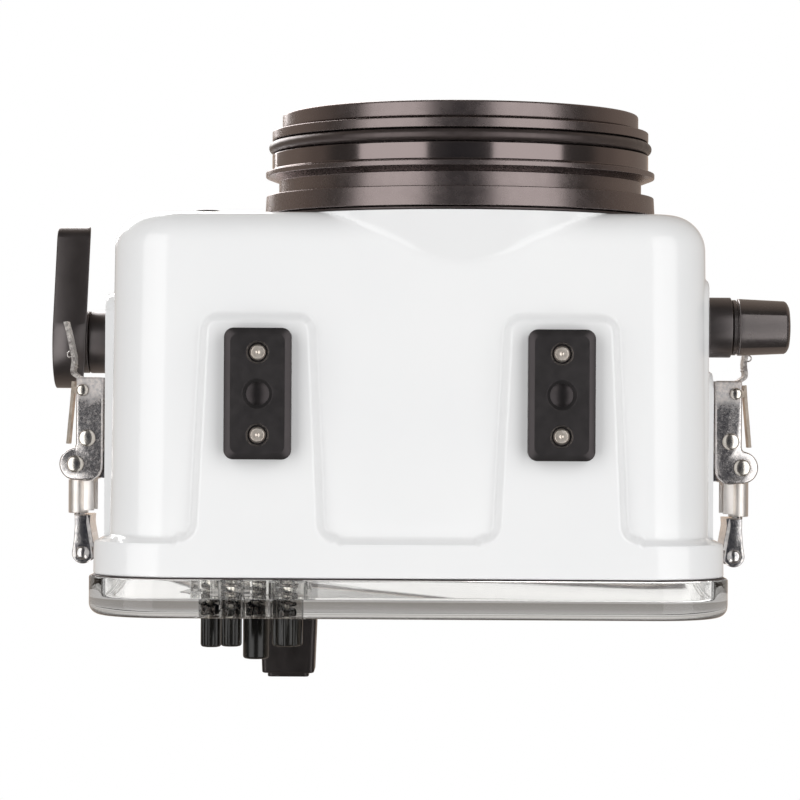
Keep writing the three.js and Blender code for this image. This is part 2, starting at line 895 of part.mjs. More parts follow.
function backButtons() {
  return padButtons.map((button, i) => group(
    [button.x, backRear, button.z],
    piece(`button_${i + 1}`, buttonCap(button), materials.blackPlastic),
    piece(`button_plunger_${i + 1}`, buttonPlunger(), materials.steel),
  ));
}

function rearLever() {
  const halfWidth = blockWidth / 2;
  const halfHeight = blockHeight / 2;
  const ring = (at, inset) => ({
    at,
    outline: roundedOutline(
      [-halfWidth + inset, halfWidth - inset],
      [-halfHeight + inset, halfHeight - inset],
      blockRound,
    ),
  });
  const end = gap + blockLength;
  const endHalfWidth = blockEndWidth / 2;
  const endHalfHeight = blockEndHeight / 2;
  const endOutline = roundedOutline([-endHalfWidth, endHalfWidth], [-endHalfHeight, endHalfHeight], blockRound);
  const block = cut(
    join(
      loft('y', [ring(gap, 0), ring(end - blockRound, blockTaper), ring(end, blockTaper + blockRound / 2)]),
      loft('y', [
        { at: end - overrun, outline: endOutline },
        { at: end + blockEndLength, outline: endOutline },
      ]),
    ),
    rod('y', blockShaft + gap, 0, blockShaftInBlock + gap),
  );
  const inner = -backWall - blockShaftInside;
  const fingerHalf = blockFingerWidth / 2;
  const shaft = join(
    rod('y', blockShaft, inner, blockShaftInBlock),
    box([-fingerHalf, fingerHalf], [inner, inner + blockFingerWidth], [0, blockFinger]),
  );
  return group(
    [blockX, backRear, blockLow + halfHeight],
    piece('rear_lever', block, materials.blackPlastic),
    piece('rear_lever_shaft', shaft, materials.steel),
  );
}

// A gland on a side of the shell: flange outside, stem through the wall, bore for the shaft.
function gland(side, radius, face, end) {
  const inner = shellHalfFront - wall - glandInside;
  const profile = [
    [shaftRadius + gap, inner],
    [glandStem, inner],
    [glandStem, face + gap],
    [radius, face + gap],
    [radius, end],
    [shaftRadius + gap, end],
    [shaftRadius + gap, inner],
  ];
  return turned('x', profile.map(([r, along]) => [r, side * along]));
}

function shutterControl() {
  const face = shutterLeverFace;
  const outline = taperOutline([shutterY, shutterZ], shutterHub, shutterTip, shutterTipRound, rodSides);
  const grown = (distance) => outline.map(([y, z]) => {
    const share = distance / shutterHub;
    return [y + (shutterY - y) * share, z + (shutterZ - z) * share];
  });
  const outer = face + shutterHubThickness;
  const armFace = face + shutterRecess;
  const lever = cut(
    join(
      loft('x', [
        { at: -armFace, outline: grown(shutterBevel) },
        { at: -armFace - shutterBevel, outline },
        { at: shutterBevel - outer, outline },
        { at: -outer, outline: grown(shutterBevel) },
      ]),
      rod('x', shutterHub, -armFace - shutterBevel, -face, knobSides).translate(0, shutterY, shutterZ),
    ),
    rod('x', shaftRadius + gap, -face - shutterSocket - gap, overrun - face).translate(0, shutterY, shutterZ),
  );
  const armInner = shutterArmOuter - shutterArmThickness;
  const shaft = rod('x', shaftRadius, -face - shutterSocket, -armInner).translate(0, shutterY, shutterZ);
  const armOutline = taperOutline([shutterY, shutterZ], shutterArmHub, shutterArmEnd, shutterArmEndRound);
  const arm = cut(
    join(
      loft('x', [
        { at: -shutterArmOuter, outline: armOutline },
        { at: -armInner, outline: armOutline },
      ]),
      rod('x', shutterArmEndRound, -armInner - overrun, -shutterFingerEnd).translate(0, ...shutterArmEnd),
    ),
    rod('x', shaftRadius + gap, -shutterArmOuter - overrun, overrun - armInner).translate(0, shutterY, shutterZ),
  );
  return [
    piece('shutter_gland', gland(-1, shutterGland, sidePadFace, shutterGlandEnd)
      .translate(0, shutterY, shutterZ), materials.blackPlastic),
    piece('shutter_lever', lever, materials.blackPlastic),
    piece('shutter_shaft', shaft, materials.steel),
    piece('shutter_arm', arm, materials.blackPlastic),
  ];
}

function zoomControl() {
  const collarStart = zoomGlandEnd + gap;
  const start = collarStart + zoomCollarLength;
  const end = start + zoomKnobLength;
  const body = turned('x', [
    [0, collarStart],
    [zoomCollar, collarStart],
    [zoomCollar, start],
    [zoomKnobInner, start],
    [zoomKnobOuter, end],
    [zoomKnobOuter * 0.6, end + zoomDome * 0.8],
    [0, end + zoomDome],
  ]);
  const cutters = [rod('x', shaftRadius + gap, collarStart - overrun, collarStart + zoomSocket + gap)];
  const flatRadius = zoomKnobOuter - zoomFlatDepth;
  for (let i = 0; i < zoomFlats; i += 1) {
    const flat = box(
      [start + zoomFlatStart, end + overrun + zoomDome],
      [-zoomKnobInner, zoomKnobInner],
      [-2 * zoomKnobInner, -flatRadius],
    );
    cutters.push(flat.rotateX((2 * Math.PI * i) / zoomFlats + THREE.MathUtils.degToRad(zoomFlatTurn)));
  }
  const outline = flutedOutline(pinionRadius, pinionTeeth, pinionToothDepth);
  const pinion = cut(
    loft('x', [
      { at: zoomShaftEnd, outline },
      { at: zoomShaftEnd + pinionLength, outline },
    ]),
    rod('x', shaftRadius + gap, zoomShaftEnd - overrun, zoomShaftEnd + pinionLength + overrun),
  );
  const shaft = rod('x', shaftRadius, zoomShaftEnd, collarStart + zoomSocket);
  return group(
    [0, zoomY, zoomZ],
    piece('zoom_gland', gland(1, zoomGland, zoomPadFace, zoomGlandEnd), materials.blackPlastic),
    piece('zoom_knob', cut(body, ...cutters), materials.blackPlastic),
    piece('zoom_shaft', shaft, materials.steel),
    piece('zoom_pinion', pinion, materials.blackPlastic),
  );
}

function topDial() {
  const outline = flutedOutline(dialRadius, dialFlutes, dialFluteDepth);
  const top = outline.map(([x, y]) => [x * (1 - capRound / dialRadius), y * (1 - capRound / dialRadius)]);
  const dial = join(
    loft('z', [
      { at: gap, outline },
      { at: dialHeight - capRound, outline },
      { at: dialHeight, outline: top },
    ]),
    rod('z', shaftRadius, -wall - dialShaftInside, gap + overrun),
  );
  return group([dialX, dialY, shellHigh], piece('top_dial', dial, materials.blackPlastic));
}

// A round button: cap outside, stem through the wall, a wider foot inside.
function stemButton(axis, radius, travel, height, outward) {
  const low = gap + travel;
  const inner = -wall - stemInside;
  const profile = [
    [0, inner],
    [stemFoot, inner],
    [stemFoot, inner + stemFootLength],
    [stemRadius, inner + stemFootLength],
    [stemRadius, low],
    [radius, low],
    [radius, low + height - capRound],
    [radius - capRound, low + height],
    [0, low + height],
  ];
  return turned(axis, profile.map(([r, along]) => [r, outward * along]));
}

function cameraTray() {
  const low = shellLow + wall + gap;
  const plateLow = low + trayRailHeight;
  const plateHigh = plateLow + trayPlate;
  const inner = trayHalf - trayRail;
  const outline = roundedOutline([-trayHalf, trayHalf], [trayFront, trayRear], trayCorner);
  const plate = loft('z', [{ at: plateLow, outline }, { at: plateHigh, outline }]);
  const railEnds = [trayFront + trayCorner, trayRear - trayCorner];
  const rails = [-1, 1].map((side) => {
    const x = [side * inner, side * trayHalf].sort((a, b) => a - b);
    return box(x, railEnds, [low, plateLow + trayPlate / 2]);
  });
  const lip = box(
    [-inner, inner],
    [trayFront, trayFront + trayLipThickness],
    [plateLow + trayPlate / 2, plateHigh + trayLip],
  );
  const hole = rod('z', cameraScrewThread + gap, low, plateHigh + overrun).translate(0, cameraScrewY, 0);
  return cut(join(plate, ...rails, lip), hole);
}

function cameraScrew() {
  const top = shellLow + wall + gap + trayRailHeight - gap;
  const low = top - cameraScrewHeadHeight;
  const outline = flutedOutline(cameraScrewHead, dialFlutes, dialFluteDepth);
  const screw = join(
    loft('z', [{ at: low, outline }, { at: top, outline }]),
    rod('z', cameraScrewThread, top - overrun, top + cameraScrewLength),
  );
  return screw.translate(0, cameraScrewY, 0);
}

// Latch pieces, each drawn for the right side and mirrored for the left.
function latchBase() {
  const plateInner = gap - pivotOut;
  const plateOuter = plateInner + basePlate;
  const plate = box([plateInner, plateOuter], [baseFront, baseRear], [-baseHalf, baseHalf]);
  const earShape = [
    [plateInner, -earHalfWidth],
    ...arcPoints([0, 0], earRound, -Math.PI / 2, Math.PI / 2),
    [plateInner, earHalfWidth],
  ];
  const ears = bothSides(earShape, [earLow, earLow + earThickness]);
  const hole = rod('z', rivetRadius + gap, -baseHalf, baseHalf);
  return cut(join(plate, ...ears), hole);
}

function arcPoints(centre, radius, from, to, steps = rodSides / 2) {
  const points = [];
  for (let i = 0; i <= steps; i += 1) {
    const angle = from + ((to - from) * i) / steps;
    points.push([centre[0] + radius * Math.cos(angle), centre[1] + radius * Math.sin(angle)]);
  }
  return points;
}

function bothSides(outline, z) {
  return [slab(outline, z), slab(outline, [-z[1], -z[0]])];
}

function latchLever() {
  const cheek = [
    [leverInner, leverFront],
    [leverOuter, leverFront],
    [leverOuter, -leverBulge],
    ...arcPoints([0, 0], leverBulge, -Math.PI / 2, Math.PI / 2),
    [leverInner, leverRear],
  ];
  const sheet = leverSheet / 2;
  const plateX = leverOuter - sheet;
  const top = sheetOutline([[plateX, leverPlateRear], [plateX, leverFront]], leverSheet);
  const step = sheetOutline([[plateX, leverFront + sheet], leverTabStep], leverTabSheet);
  const tab = sheetOutline([leverTabStep, leverTabBend, leverTabEnd], leverTabSheet);
  const half = leverTabHalf;
  const body = join(
    ...bothSides(cheek, [leverHalf - leverSheet, leverHalf]),
    slab(top, [-leverHalf, leverHalf]),
    slab(step, [-half, half]),
    slab(tab, [-half, half]),
  );
  const slotY = [lockPin[1] - lockEarSlot / 2, lockPin[1] + lockEarSlot / 2];
  const slotX = [leverOuter - leverSheet - overrun, leverOuter + overrun];
  const slots = [-1, 1].map((side) => {
    const z = [side * (lockEarLow - gap), side * (lockHalf + gap)].sort((a, b) => a - b);
    return box(slotX, slotY, z);
  });
  const cutRod = (at, radius) => rod('z', radius, -leverHalf - overrun, leverHalf + overrun).translate(...at, 0);
  return cut(
    body,
    ...slots,
    cutRod([0, 0], rivetRadius + gap),
    cutRod(linkPin, linkPinRadius + gap),
    cutRod(lockPin, lockPinRadius + gap),
  );
}

// A pin across the lever with a head at each end.
function headedPin(radius, head) {
  const inner = leverHalf + gap;
  const outer = inner + headThickness;
  return turned(
    'z',
    [
      [0, -outer],
      [head, -outer],
      [head, -inner],
      [radius, -inner],
      [radius, inner],
      [head, inner],
      [head, outer],
      [0, outer],
    ],
    rodSides,
  );
}

function latchPivot(side) {
  const profile = [
    [0, earLow - gap],
    [rivetRadius, earLow - gap],
    [rivetRadius, leverHalf + gap],
    [rivetHead, leverHalf + gap],
    [rivetHead, leverHalf + gap + headThickness],
    [0, leverHalf + gap + headThickness],
  ];
  return turned('z', profile.map(([r, along]) => [r, side * along]), rodSides);
}

function latchLock() {
  const plate = slab(sheetOutline([lockFront, lockRear], lockSheet), [-lockHalf, lockHalf]);
  const earOutline = taperOutline(lockPin, lockEarRound, lockEarTip, lockEarTipRound, cornerSteps);
  const ears = bothSides(earOutline, [lockEarLow, lockHalf]);
  const hole = rod('z', lockPinRadius + gap, -lockHalf, lockHalf).translate(...lockPin, 0);
  return cut(join(plate, ...ears), hole);
}

function drawLink() {
  const outer = linkInner + linkThickness;
  const barrelRear = barrelFront + barrelLength;
  const strap = slab(
    [
      [linkInner, linkPin[1]],
      [outer, linkPin[1]],
      [outer, barrelFront + overrun],
      [linkInner, barrelFront + overrun],
    ],
    [-linkHalf, linkHalf],
  );
  const eye = rod('z', linkEye, -linkHalf, linkHalf).translate(...linkPin, 0);
  const barrel = rod('y', barrelRadius, barrelFront, barrelRear, knobSides / 2).translate(barrelX, 0, 0);
  const bore = rod('y', studRadius + gap, barrelRear - studLength - gap, barrelRear + overrun);
  const pinHole = rod('z', linkPinRadius + gap, -linkHalf - overrun, linkHalf + overrun);
  const window = box([linkInner - overrun, outer + overrun], linkWindow, [-linkWindowHalf, linkWindowHalf]);
  return cut(join(strap, eye, barrel), window, pinHole.translate(...linkPin, 0), bore.translate(barrelX, 0, 0));
}

function drawClaw() {
  const inner = linkInner;
  const strapOutline = [
    [inner, clawFront],
    [clawOuter, clawFront],
    ...arcPoints(clawPin, clawRound, 0, Math.PI / 2),
    ...arcPoints(clawPin, clawPin[0] - inner, Math.PI / 2, Math.PI),
  ];
  const straps = bothSides(strapOutline, [clawHalf - clawStrap, clawHalf]);
  const bridge = box([inner, clawOuter], [clawFront, clawFront + clawBridge], [-clawHalf, clawHalf]);
  const stud = rod('y', studRadius, clawFront - gap - studLength, clawFront + overrun);
  const pin = rod('z', clawPinRadius, -clawHalf, clawHalf).translate(...clawPin, 0);
  const head = clawHalf + headThickness;
  const heads = rod('z', clawRivetHead, clawHalf - overrun, head).translate(...clawPin, 0);
  const headsBelow = rod('z', clawRivetHead, -head, overrun - clawHalf).translate(...clawPin, 0);
  return join(...straps, bridge, stud.translate(barrelX, 0, 0), pin, heads, headsBelow);
}

function keeper() {
  const inner = backHalf + gap - pivotX;
  const outer = inner + keeperSheet;
  const lipRear = clawPin[1] - clawPinRadius - keeperLipGap;
  const lipFront = lipRear - keeperSheet;
  const outline = [
    [inner, lipFront],
    [inner + keeperLipReach, lipFront],
    [inner + keeperLipReach, lipRear],
    [outer, lipRear],
    [outer, backRear - keeperRearInset - pivotY],
    [inner, backRear - keeperRearInset - pivotY],
  ];
  return slab(outline, [-keeperHalf, keeperHalf]);
}

function latch(side) {
  const name = side < 0 ? 'left' : 'right';
  const own = (label, geometry, material) => piece(`${label}_${name}`, mirrored(geometry, side), material);
  const linkPinGeometry = headedPin(linkPinRadius, linkPinHead).translate(...linkPin, 0);
  const lockPinGeometry = headedPin(lockPinRadius, lockPinHead).translate(...lockPin, 0);
  return group(
    [side * pivotX, pivotY, latchZ],
    own('latch_base', latchBase(), materials.steel),
    own('latch_pivot_upper', latchPivot(1), materials.steel),
    own('latch_pivot_lower', latchPivot(-1), materials.steel),
    own('latch_lever', latchLever(), materials.steel),
    own('link_pin', linkPinGeometry, materials.steel),
    own('lock_pin', lockPinGeometry, materials.steel),
    own('latch_lock', latchLock(), materials.steel),
    own('draw_link', drawLink(), materials.steel),
    own('draw_claw', drawClaw(), materials.steel),
    own('keeper', keeper(), materials.steel),
  );
}

function housing() {
  const topButton = stemButton('z', topButtonRadius, topButtonTravel, topButtonHeight, 1);
  const frontButton = stemButton('y', frontButtonRadius, frontButtonTravel, frontButtonHeight, -1);
  const whole = new THREE.Group();
  whole.add(
    piece('front_shell', frontShell(), materials.whitePlastic),
    ...feet(),
    port(),
    piece('camera_tray', cameraTray(), materials.blackPlastic),
    piece('camera_screw', cameraScrew(), materials.steel),
    piece('back_cover', backCover(), materials.clearPlastic),
    piece('back_oring', backSeal(), materials.rubber),
    ...backButtons(),
    rearLever(),
    ...shutterControl(),
    zoomControl(),
    topDial(),
    group([topButtonX, topButtonY, shellHigh], piece('top_button', topButton, materials.blackPlastic)),
    group([frontButtonX, shellFront, frontButtonZ], piece('front_button', frontButton, materials.blackPlastic)),
    latch(-1),
    latch(1),
  );
  return whole;
}

export default housing();
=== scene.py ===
"""Looks of the underwater camera housing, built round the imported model.

Sizes are in millimetres until a mesh is made: +X to the photo's right, +Y to the clear back, +Z up.
"""

import json
import math

import bmesh
import bpy
import numpy as np
from mathutils import Matrix, Vector


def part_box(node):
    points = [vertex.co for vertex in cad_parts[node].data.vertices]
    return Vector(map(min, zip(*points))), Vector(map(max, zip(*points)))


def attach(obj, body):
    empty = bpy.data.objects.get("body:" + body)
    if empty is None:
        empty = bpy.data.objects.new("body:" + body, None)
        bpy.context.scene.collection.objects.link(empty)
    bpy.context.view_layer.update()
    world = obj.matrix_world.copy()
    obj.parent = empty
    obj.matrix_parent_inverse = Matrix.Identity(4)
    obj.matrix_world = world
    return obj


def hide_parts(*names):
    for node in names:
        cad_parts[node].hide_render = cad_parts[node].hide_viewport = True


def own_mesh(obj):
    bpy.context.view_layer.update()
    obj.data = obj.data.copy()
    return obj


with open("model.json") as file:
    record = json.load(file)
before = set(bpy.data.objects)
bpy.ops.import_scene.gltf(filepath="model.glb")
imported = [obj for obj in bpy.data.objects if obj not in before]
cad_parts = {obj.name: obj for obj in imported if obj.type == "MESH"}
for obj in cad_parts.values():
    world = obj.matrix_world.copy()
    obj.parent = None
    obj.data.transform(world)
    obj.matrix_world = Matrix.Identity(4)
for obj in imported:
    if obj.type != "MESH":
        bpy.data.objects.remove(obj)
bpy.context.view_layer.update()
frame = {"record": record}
MM = 0.001
QUARTER_TURN = math.pi / 2


def corners(node):
    """A CAD node's lowest and highest corner, in millimetres."""
    low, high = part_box(node)
    return np.array(low) / MM, np.array(high) / MM


# Driving sizes, read from the frame or named as in the part
GAP = 0.3
ON_AXIS = 1e-4
SHELL_LOW, SHELL_HIGH = corners("front_shell")
BACK_LOW, BACK_HIGH = corners("back_cover")
NECK_LOW, NECK_HIGH = corners("port_neck")
PORT_X = (NECK_LOW[0] + NECK_HIGH[0]) / 2
PORT_Z = (NECK_LOW[2] + NECK_HIGH[2]) / 2

# Camera of the photograph: focal length in pixels, distance below the feet, and a small roll
IMAGE_SIDE = 800
FOCAL_PIXELS = 3049
CAMERA_X = -2.6
CAMERA_DISTANCE = 820
CAMERA_ROLL = math.radians(-0.34)
SENSOR = 36


def photo_camera():
    data = bpy.data.cameras.new("photo_camera")
    data.sensor_width = SENSOR
    data.lens = FOCAL_PIXELS / IMAGE_SIDE * SENSOR
    data.clip_start = 0.01
    camera = bpy.data.objects.new("photo_camera", data)
    bpy.context.scene.collection.objects.link(camera)
    looking_up = Matrix.Rotation(math.pi, 4, "X")
    roll = Matrix.Rotation(CAMERA_ROLL, 4, "Z")
    place = Matrix.Translation(Vector((CAMERA_X, 0, -CAMERA_DISTANCE)) * MM)
    camera.matrix_world = place @ roll @ looking_up
    bpy.context.scene.camera = camera


# Meshes


def mesh_object(name, points, faces, origin=(0, 0, 0)):
    """A mesh object with its own origin; points are given in the row frame."""
    own = (np.asarray(points, float) - np.array(origin)) * MM
    mesh = bpy.data.meshes.new(name)
    mesh.from_pydata(own.tolist(), [], faces)
    mesh.validate()
    obj = bpy.data.objects.new(name, mesh)
    obj.location = Vector(origin) * MM
    bpy.context.scene.collection.objects.link(obj)
    return obj


def outward(obj):
    """Turns all faces of a closed mesh outwards."""
    work = bmesh.new()
    work.from_mesh(obj.data)
    bmesh.ops.remove_doubles(work, verts=work.verts, dist=1e-7)
    bmesh.ops.recalc_face_normals(work, faces=work.faces)
    if work.calc_volume(signed=True) < 0:
        bmesh.ops.reverse_faces(work, faces=work.faces)
    work.to_mesh(obj.data)
    work.free()
    return obj


def skin(name, points, columns, origin=(0, 0, 0), ring=False):
    """A closed mesh from rows of points: flat at its ends, or a ring whose last row joins the first."""
    faces = []
    last = len(points) - columns
    for row in range(0, last, columns):
        for i in range(columns):
            a, b = row + i, row + (i + 1) % columns
            faces.append((a, b, b + columns, a + columns))
    if ring:
        faces += [(last + i, last + (i + 1) % columns, (i + 1) % columns, i) for i in range(columns)]
    else:
        faces += [tuple(range(columns - 1, -1, -1)), tuple(range(last, last + columns))]
    return outward(mesh_object(name, points, faces, origin))


def shade(obj, angle=35):
    obj.data.shade_smooth()
    obj.data.set_sharp_from_angle(angle=math.radians(angle))
    return obj


def flat_between(obj):
    """Weighs normals by face size, so that long faces stay flat between small fillets."""
    step = obj.modifiers.new("normals", "WEIGHTED_NORMAL")
    step.keep_sharp = True
    return apply_modifiers(obj)


def loft(name, rings, axis="y", origin=(0, 0, 0), ring=False):
    """Joins outlines of equally many points, each (distance along the axis, outline), into a closed skin."""
    order = {"x": (2, 0, 1), "y": (0, 2, 1), "z": (0, 1, 2)}[axis]
    rows = [np.column_stack([outline, np.full(len(outline), float(at))])[:, order] for at, outline in rings]
    return skin(name, np.vstack(rows) + np.array(origin), len(rows[0]), origin, ring)


def rounded_outline(x, y, radius, steps=10):
    """A rounded rectangle; x and y are [low, high]."""
    right, left, top, bottom = x[1] - radius, x[0] + radius, y[1] - radius, y[0] + radius
    points = []
    for corner, (cx, cy) in enumerate(((right, top), (left, top), (left, bottom), (right, bottom))):
        for i in range(steps + 1):
            angle = (corner + i / steps) * QUARTER_TURN
            points.append((cx + radius * math.cos(angle), cy + radius * math.sin(angle)))
    return np.array(points)


def centred_outline(half_x, half_y, radius, steps=10):
    return rounded_outline([-half_x, half_x], [-half_y, half_y], radius, steps)


def direction(degrees):
    angle = math.radians(degrees)
    return np.array((math.cos(angle), math.sin(angle)))


def arc(centre, radius, start, end, steps=12):
    angles = np.radians(np.linspace(start, end, steps + 1))
    return [(centre[0] + radius * math.cos(a), centre[1] + radius * math.sin(a)) for a in angles]


def circle(radius, sides):
    return np.array(arc((0, 0), radius, 0, 360 - 360 / sides, sides - 1))


def even_angles(sides):
    return 2 * math.pi * np.arange(sides) / sides


def round_outline(radii):
    """An outline from its radius at even angles."""
    angles = even_angles(len(radii))
    return np.column_stack([radii * np.cos(angles), radii * np.sin(angles)])


def fluted_outline(radius, flutes, depth, sides=144, width=0.5):
    """A round outline with shallow scallops cut into it."""
    phase = (even_angles(sides) * flutes / (2 * math.pi)) % 1 - 0.5
    dip = np.maximum(0, 1 - (2 * phase / width) ** 2) ** 0.75
    return round_outline(radius - (depth if flutes else 0) * dip)


def flatted_outline(radius, flats, depth, turn, sides=360):
    """A round outline with shallow facets."""
    pitch = 2 * math.pi / flats
    phase = (even_angles(sides) + QUARTER_TURN - turn) % pitch
    phase = np.where(phase > pitch / 2, phase - pitch, phase)
    return round_outline(radius - depth * (1 - (2 * phase / pitch) ** 2))


def quarter_round(radius, steps):
    """Steps of a rounded edge, as pairs: the first distance grows from 0 while the second falls to 0."""
    angles = [QUARTER_TURN * i / steps for i in range(steps + 1)]
    return [(radius * (1 - math.cos(a)), radius * (1 - math.sin(a))) for a in angles]


def filleted(profile, radius, steps=3):
    """Rounds the inner corners of an open profile of (r, along) points."""
    points = [np.array(p, float) for p in profile]
    result = [points[0]]
    for before, corner, after in zip(points, points[1:], points[2:]):
        into, out = before - corner, after - corner
        reach = min(np.linalg.norm(into), np.linalg.norm(out))
        cosine = np.dot(into, out) / (np.linalg.norm(into) * np.linalg.norm(out) + 1e-9)
        half = math.acos(max(-1, min(1, cosine))) / 2
        cut = min(radius / max(math.tan(half), 1e-6), reach * 0.45)
        a = corner + into / np.linalg.norm(into) * cut
        b = corner + out / np.linalg.norm(out) * cut
        for i in range(steps + 1):
            t = i / steps
            result.append((1 - t) ** 2 * a + 2 * t * (1 - t) * corner + t**2 * b)
    result.append(points[-1])
    return result


def lathe(name, profile, centre=(0, 0, 0), axis="y", sides=160, ring=False):
    """Turns (radius, along) points about an axis through centre."""
    angles = np.linspace(0, 2 * math.pi, sides, endpoint=False)
    rows = []
    for radius, along in profile:
        a, b = radius * np.cos(angles), radius * np.sin(angles)
        level = np.full(sides, float(along))
        rows.append(np.column_stack({"x": (level, a, b), "y": (a, level, b), "z": (a, b, level)}[axis]))
    return skin(name, np.vstack(rows) + np.array(centre), sides, centre, ring)


def turned_ring(name, profile, radius, steps, centre, axis="y", sides=160):
    """Turns a closed profile whose corners are rounded, all but the first."""
    return lathe(name, filleted([*profile, profile[0]], radius, steps)[:-1], centre, axis, sides, True)


def rod(name, radius, low, high, centre=(0, 0, 0), axis="y", sides=48, edge=0):
    """A cylinder from low to high along an axis, with rounded ends if edge is given."""
    profile = [(ON_AXIS, low), (radius, low), (radius, high), (ON_AXIS, high)]
    if edge:
        profile = filleted(profile, edge, 4)
    return lathe(name, profile, centre, axis, sides)


def slab(name, outline, low, high, centre=(0, 0, 0)):
    outline = np.asarray(outline, float)
    return loft(name, [(low, outline), (high, outline)], "z", centre)


def span(sign, inner, outer):
    """The low and high end of a stretch on one side of zero."""
    return sorted((sign * inner, sign * outer))


def slab_pair(name, outline, inner, outer):
    """Two slabs, one on each side of zero along Z."""
    return [slab(name, outline, *span(sign, inner, outer)) for sign in (-1, 1)]


def apply_modifiers(obj):
    mesh = bpy.data.meshes.new_from_object(obj.evaluated_get(bpy.context.evaluated_depsgraph_get()))
    old = obj.data
    obj.modifiers.clear()
    obj.data = mesh
    mesh.name = obj.name
    bpy.data.meshes.remove(old)
    return obj


def combine(obj, operation, *others):
    """Cuts others from obj, or joins them to it, and drops them."""
    for other in others:
        step = obj.modifiers.new("combine", "BOOLEAN")
        step.operation = operation
        step.solver = "EXACT"
        step.object = other
        apply_modifiers(obj)
        bpy.data.objects.remove(other)
    return obj


def cut(obj, *others):
    return combine(obj, "DIFFERENCE", *others)


def join(obj, *others):
    return combine(obj, "UNION", *others)


def soften(obj, width, segments=3, angle=30):
    """Rounds an object's sharp edges."""
    step = obj.modifiers.new("edges", "BEVEL")
    step.width = width * MM
    step.segments = segments
    step.limit_method = "ANGLE"
    step.angle_limit = math.radians(angle)
    step.use_clamp_overlap = True
    step.harden_normals = True
    return obj


BODIES = {node: body for body, nodes in frame["record"]["behaviour"]["bodies"].items() for node in nodes}


def dress(obj, material, body):
    """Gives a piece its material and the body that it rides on."""
    obj.data.materials.clear()
    obj.data.materials.append(material)
    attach(obj, body)


def put(obj, material, node):
    """Lets a piece stand for a CAD node, on that node's body."""
    dress(obj, material, BODIES[node])
    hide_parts(node)


# Materials


def node_material(name):
    material = bpy.data.materials.new(name)
    material.use_nodes = True
    tree = material.node_tree
    return material, tree, tree.nodes["Principled BSDF"]


def feed(tree, node, inputs):
    """Links each input that is given a socket, and sets the others."""
    for name, value in inputs.items():
        if isinstance(value, bpy.types.NodeSocket):
            tree.links.new(value, node.inputs[name])
        else:
            node.inputs[name].default_value = value


def add(tree, kind, inputs, output=0, **settings):
    """A new node with its settings and inputs; gives the output that is asked for."""
    node = tree.nodes.new("ShaderNode" + kind)
    for key, value in settings.items():
        setattr(node, key, value)
    feed(tree, node, inputs)
    return node.outputs[output]


def noise(tree, scale, detail=3, roughness=0.5):
    """A noise pattern in object space; scale is in features per metre."""
    place = add(tree, "TexCoord", {}, "Object")
    inputs = {"Vector": place, "Scale": scale, "Detail": detail, "Roughness": roughness}
    return add(tree, "TexNoise", inputs, "Fac")


def along_axis(tree, vector, axis):
    return add(tree, "SeparateXYZ", {"Vector": vector}, axis)


def spread(tree, value, low, high, start=0.3, end=0.7):
    """Maps a pattern's value to a range."""
    inputs = {"Value": value, "From Min": start, "From Max": end, "To Min": low, "To Max": high}
    return add(tree, "MapRange", inputs)


def clouds(tree, scale, detail):
    return spread(tree, noise(tree, scale, detail), 0, 1)


def blend_colours(tree, share, first, second, **settings):
    """Mixes two colours, each written as red, green and blue or given as a socket."""
    a, b = (c if isinstance(c, bpy.types.NodeSocket) else (*c, 1) for c in (first, second))
    return add(tree, "Mix", {"Factor": share, "A": a, "B": b}, "Result", data_type="RGBA", **settings)


def colour_steps(tree, value, steps, interpolation="LINEAR"):
    """Turns a value into a colour; each step is (position, colour)."""
    output = add(tree, "ValToRGB", {"Fac": value}, "Color")
    output.node.color_ramp.interpolation = interpolation
    elements = output.node.color_ramp.elements
    while len(elements) < len(steps):
        elements.new(0.5)
    for element, (position, colour) in zip(elements, steps):
        element.position = position
        element.color = (*colour, 1)
    return output


def relief(tree, surface, *layers):
    """Raises patterns together, each (features per metre, detail, height in millimetres)."""
    total = 0
    for scale, detail, height in layers:
        inputs = {0: noise(tree, scale, detail), 1: height, 2: total}
        total = add(tree, "Math", inputs, operation="MULTIPLY_ADD")
    normal = add(tree, "Bump", {"Strength": 1, "Distance": MM, "Height": total}, "Normal")
    feed(tree, surface, {"Normal": normal})


def change_roughness(tree, surface, share, rough):
    """Gives the share of a surface another roughness."""
    before = surface.inputs["Roughness"].links[0].from_socket
    mixed = add(tree, "Mix", {"Factor": share, "A": before, "B": rough}, "Result", data_type="FLOAT")
    feed(tree, surface, {"Roughness": mixed})


def object_y(tree):
    return along_axis(tree, add(tree, "TexCoord", {}, "Object"), "Y")


def dulled_end(material, full, none, rough, wave=5):
    """Dulls a sheet towards one end, between two places along Y, along a line that waves a little."""
    tree = material.node_tree
    inputs = {0: noise(tree, 300, 4), 1: wave * MM, 2: object_y(tree)}
    wavy = add(tree, "Math", inputs, operation="MULTIPLY_ADD")
    share = spread(tree, wavy, 1, 0, (full + wave / 2) * MM, (none + wave / 2) * MM)
    change_roughness(tree, tree.nodes["Principled BSDF"], share, rough)
    return material


def polish_band(material, front, rear, rough):
    """Smooths a turned piece between two places along Y, from the piece's own origin."""
    tree = material.node_tree
    inputs = {0: object_y(tree), 1: (front + rear) / 2 * MM, 2: (rear - front) / 2 * MM}
    inside = add(tree, "Math", inputs, operation="COMPARE")
    change_roughness(tree, tree.nodes["Principled BSDF"], inside, rough)
    return material


def finish(name, tones, cloud, rough, patches, grain, inputs):
    """A moulding or coating in two tones; cloud, patches and grain say how fine each pattern is."""
    material, tree, surface = node_material(name)
    colour = blend_colours(tree, clouds(tree, *cloud), *tones)
    roughness = spread(tree, noise(tree, *patches), *rough)
    feed(tree, surface, {"Base Color": colour, "Roughness": roughness, **inputs})
    relief(tree, surface, grain)
    return material


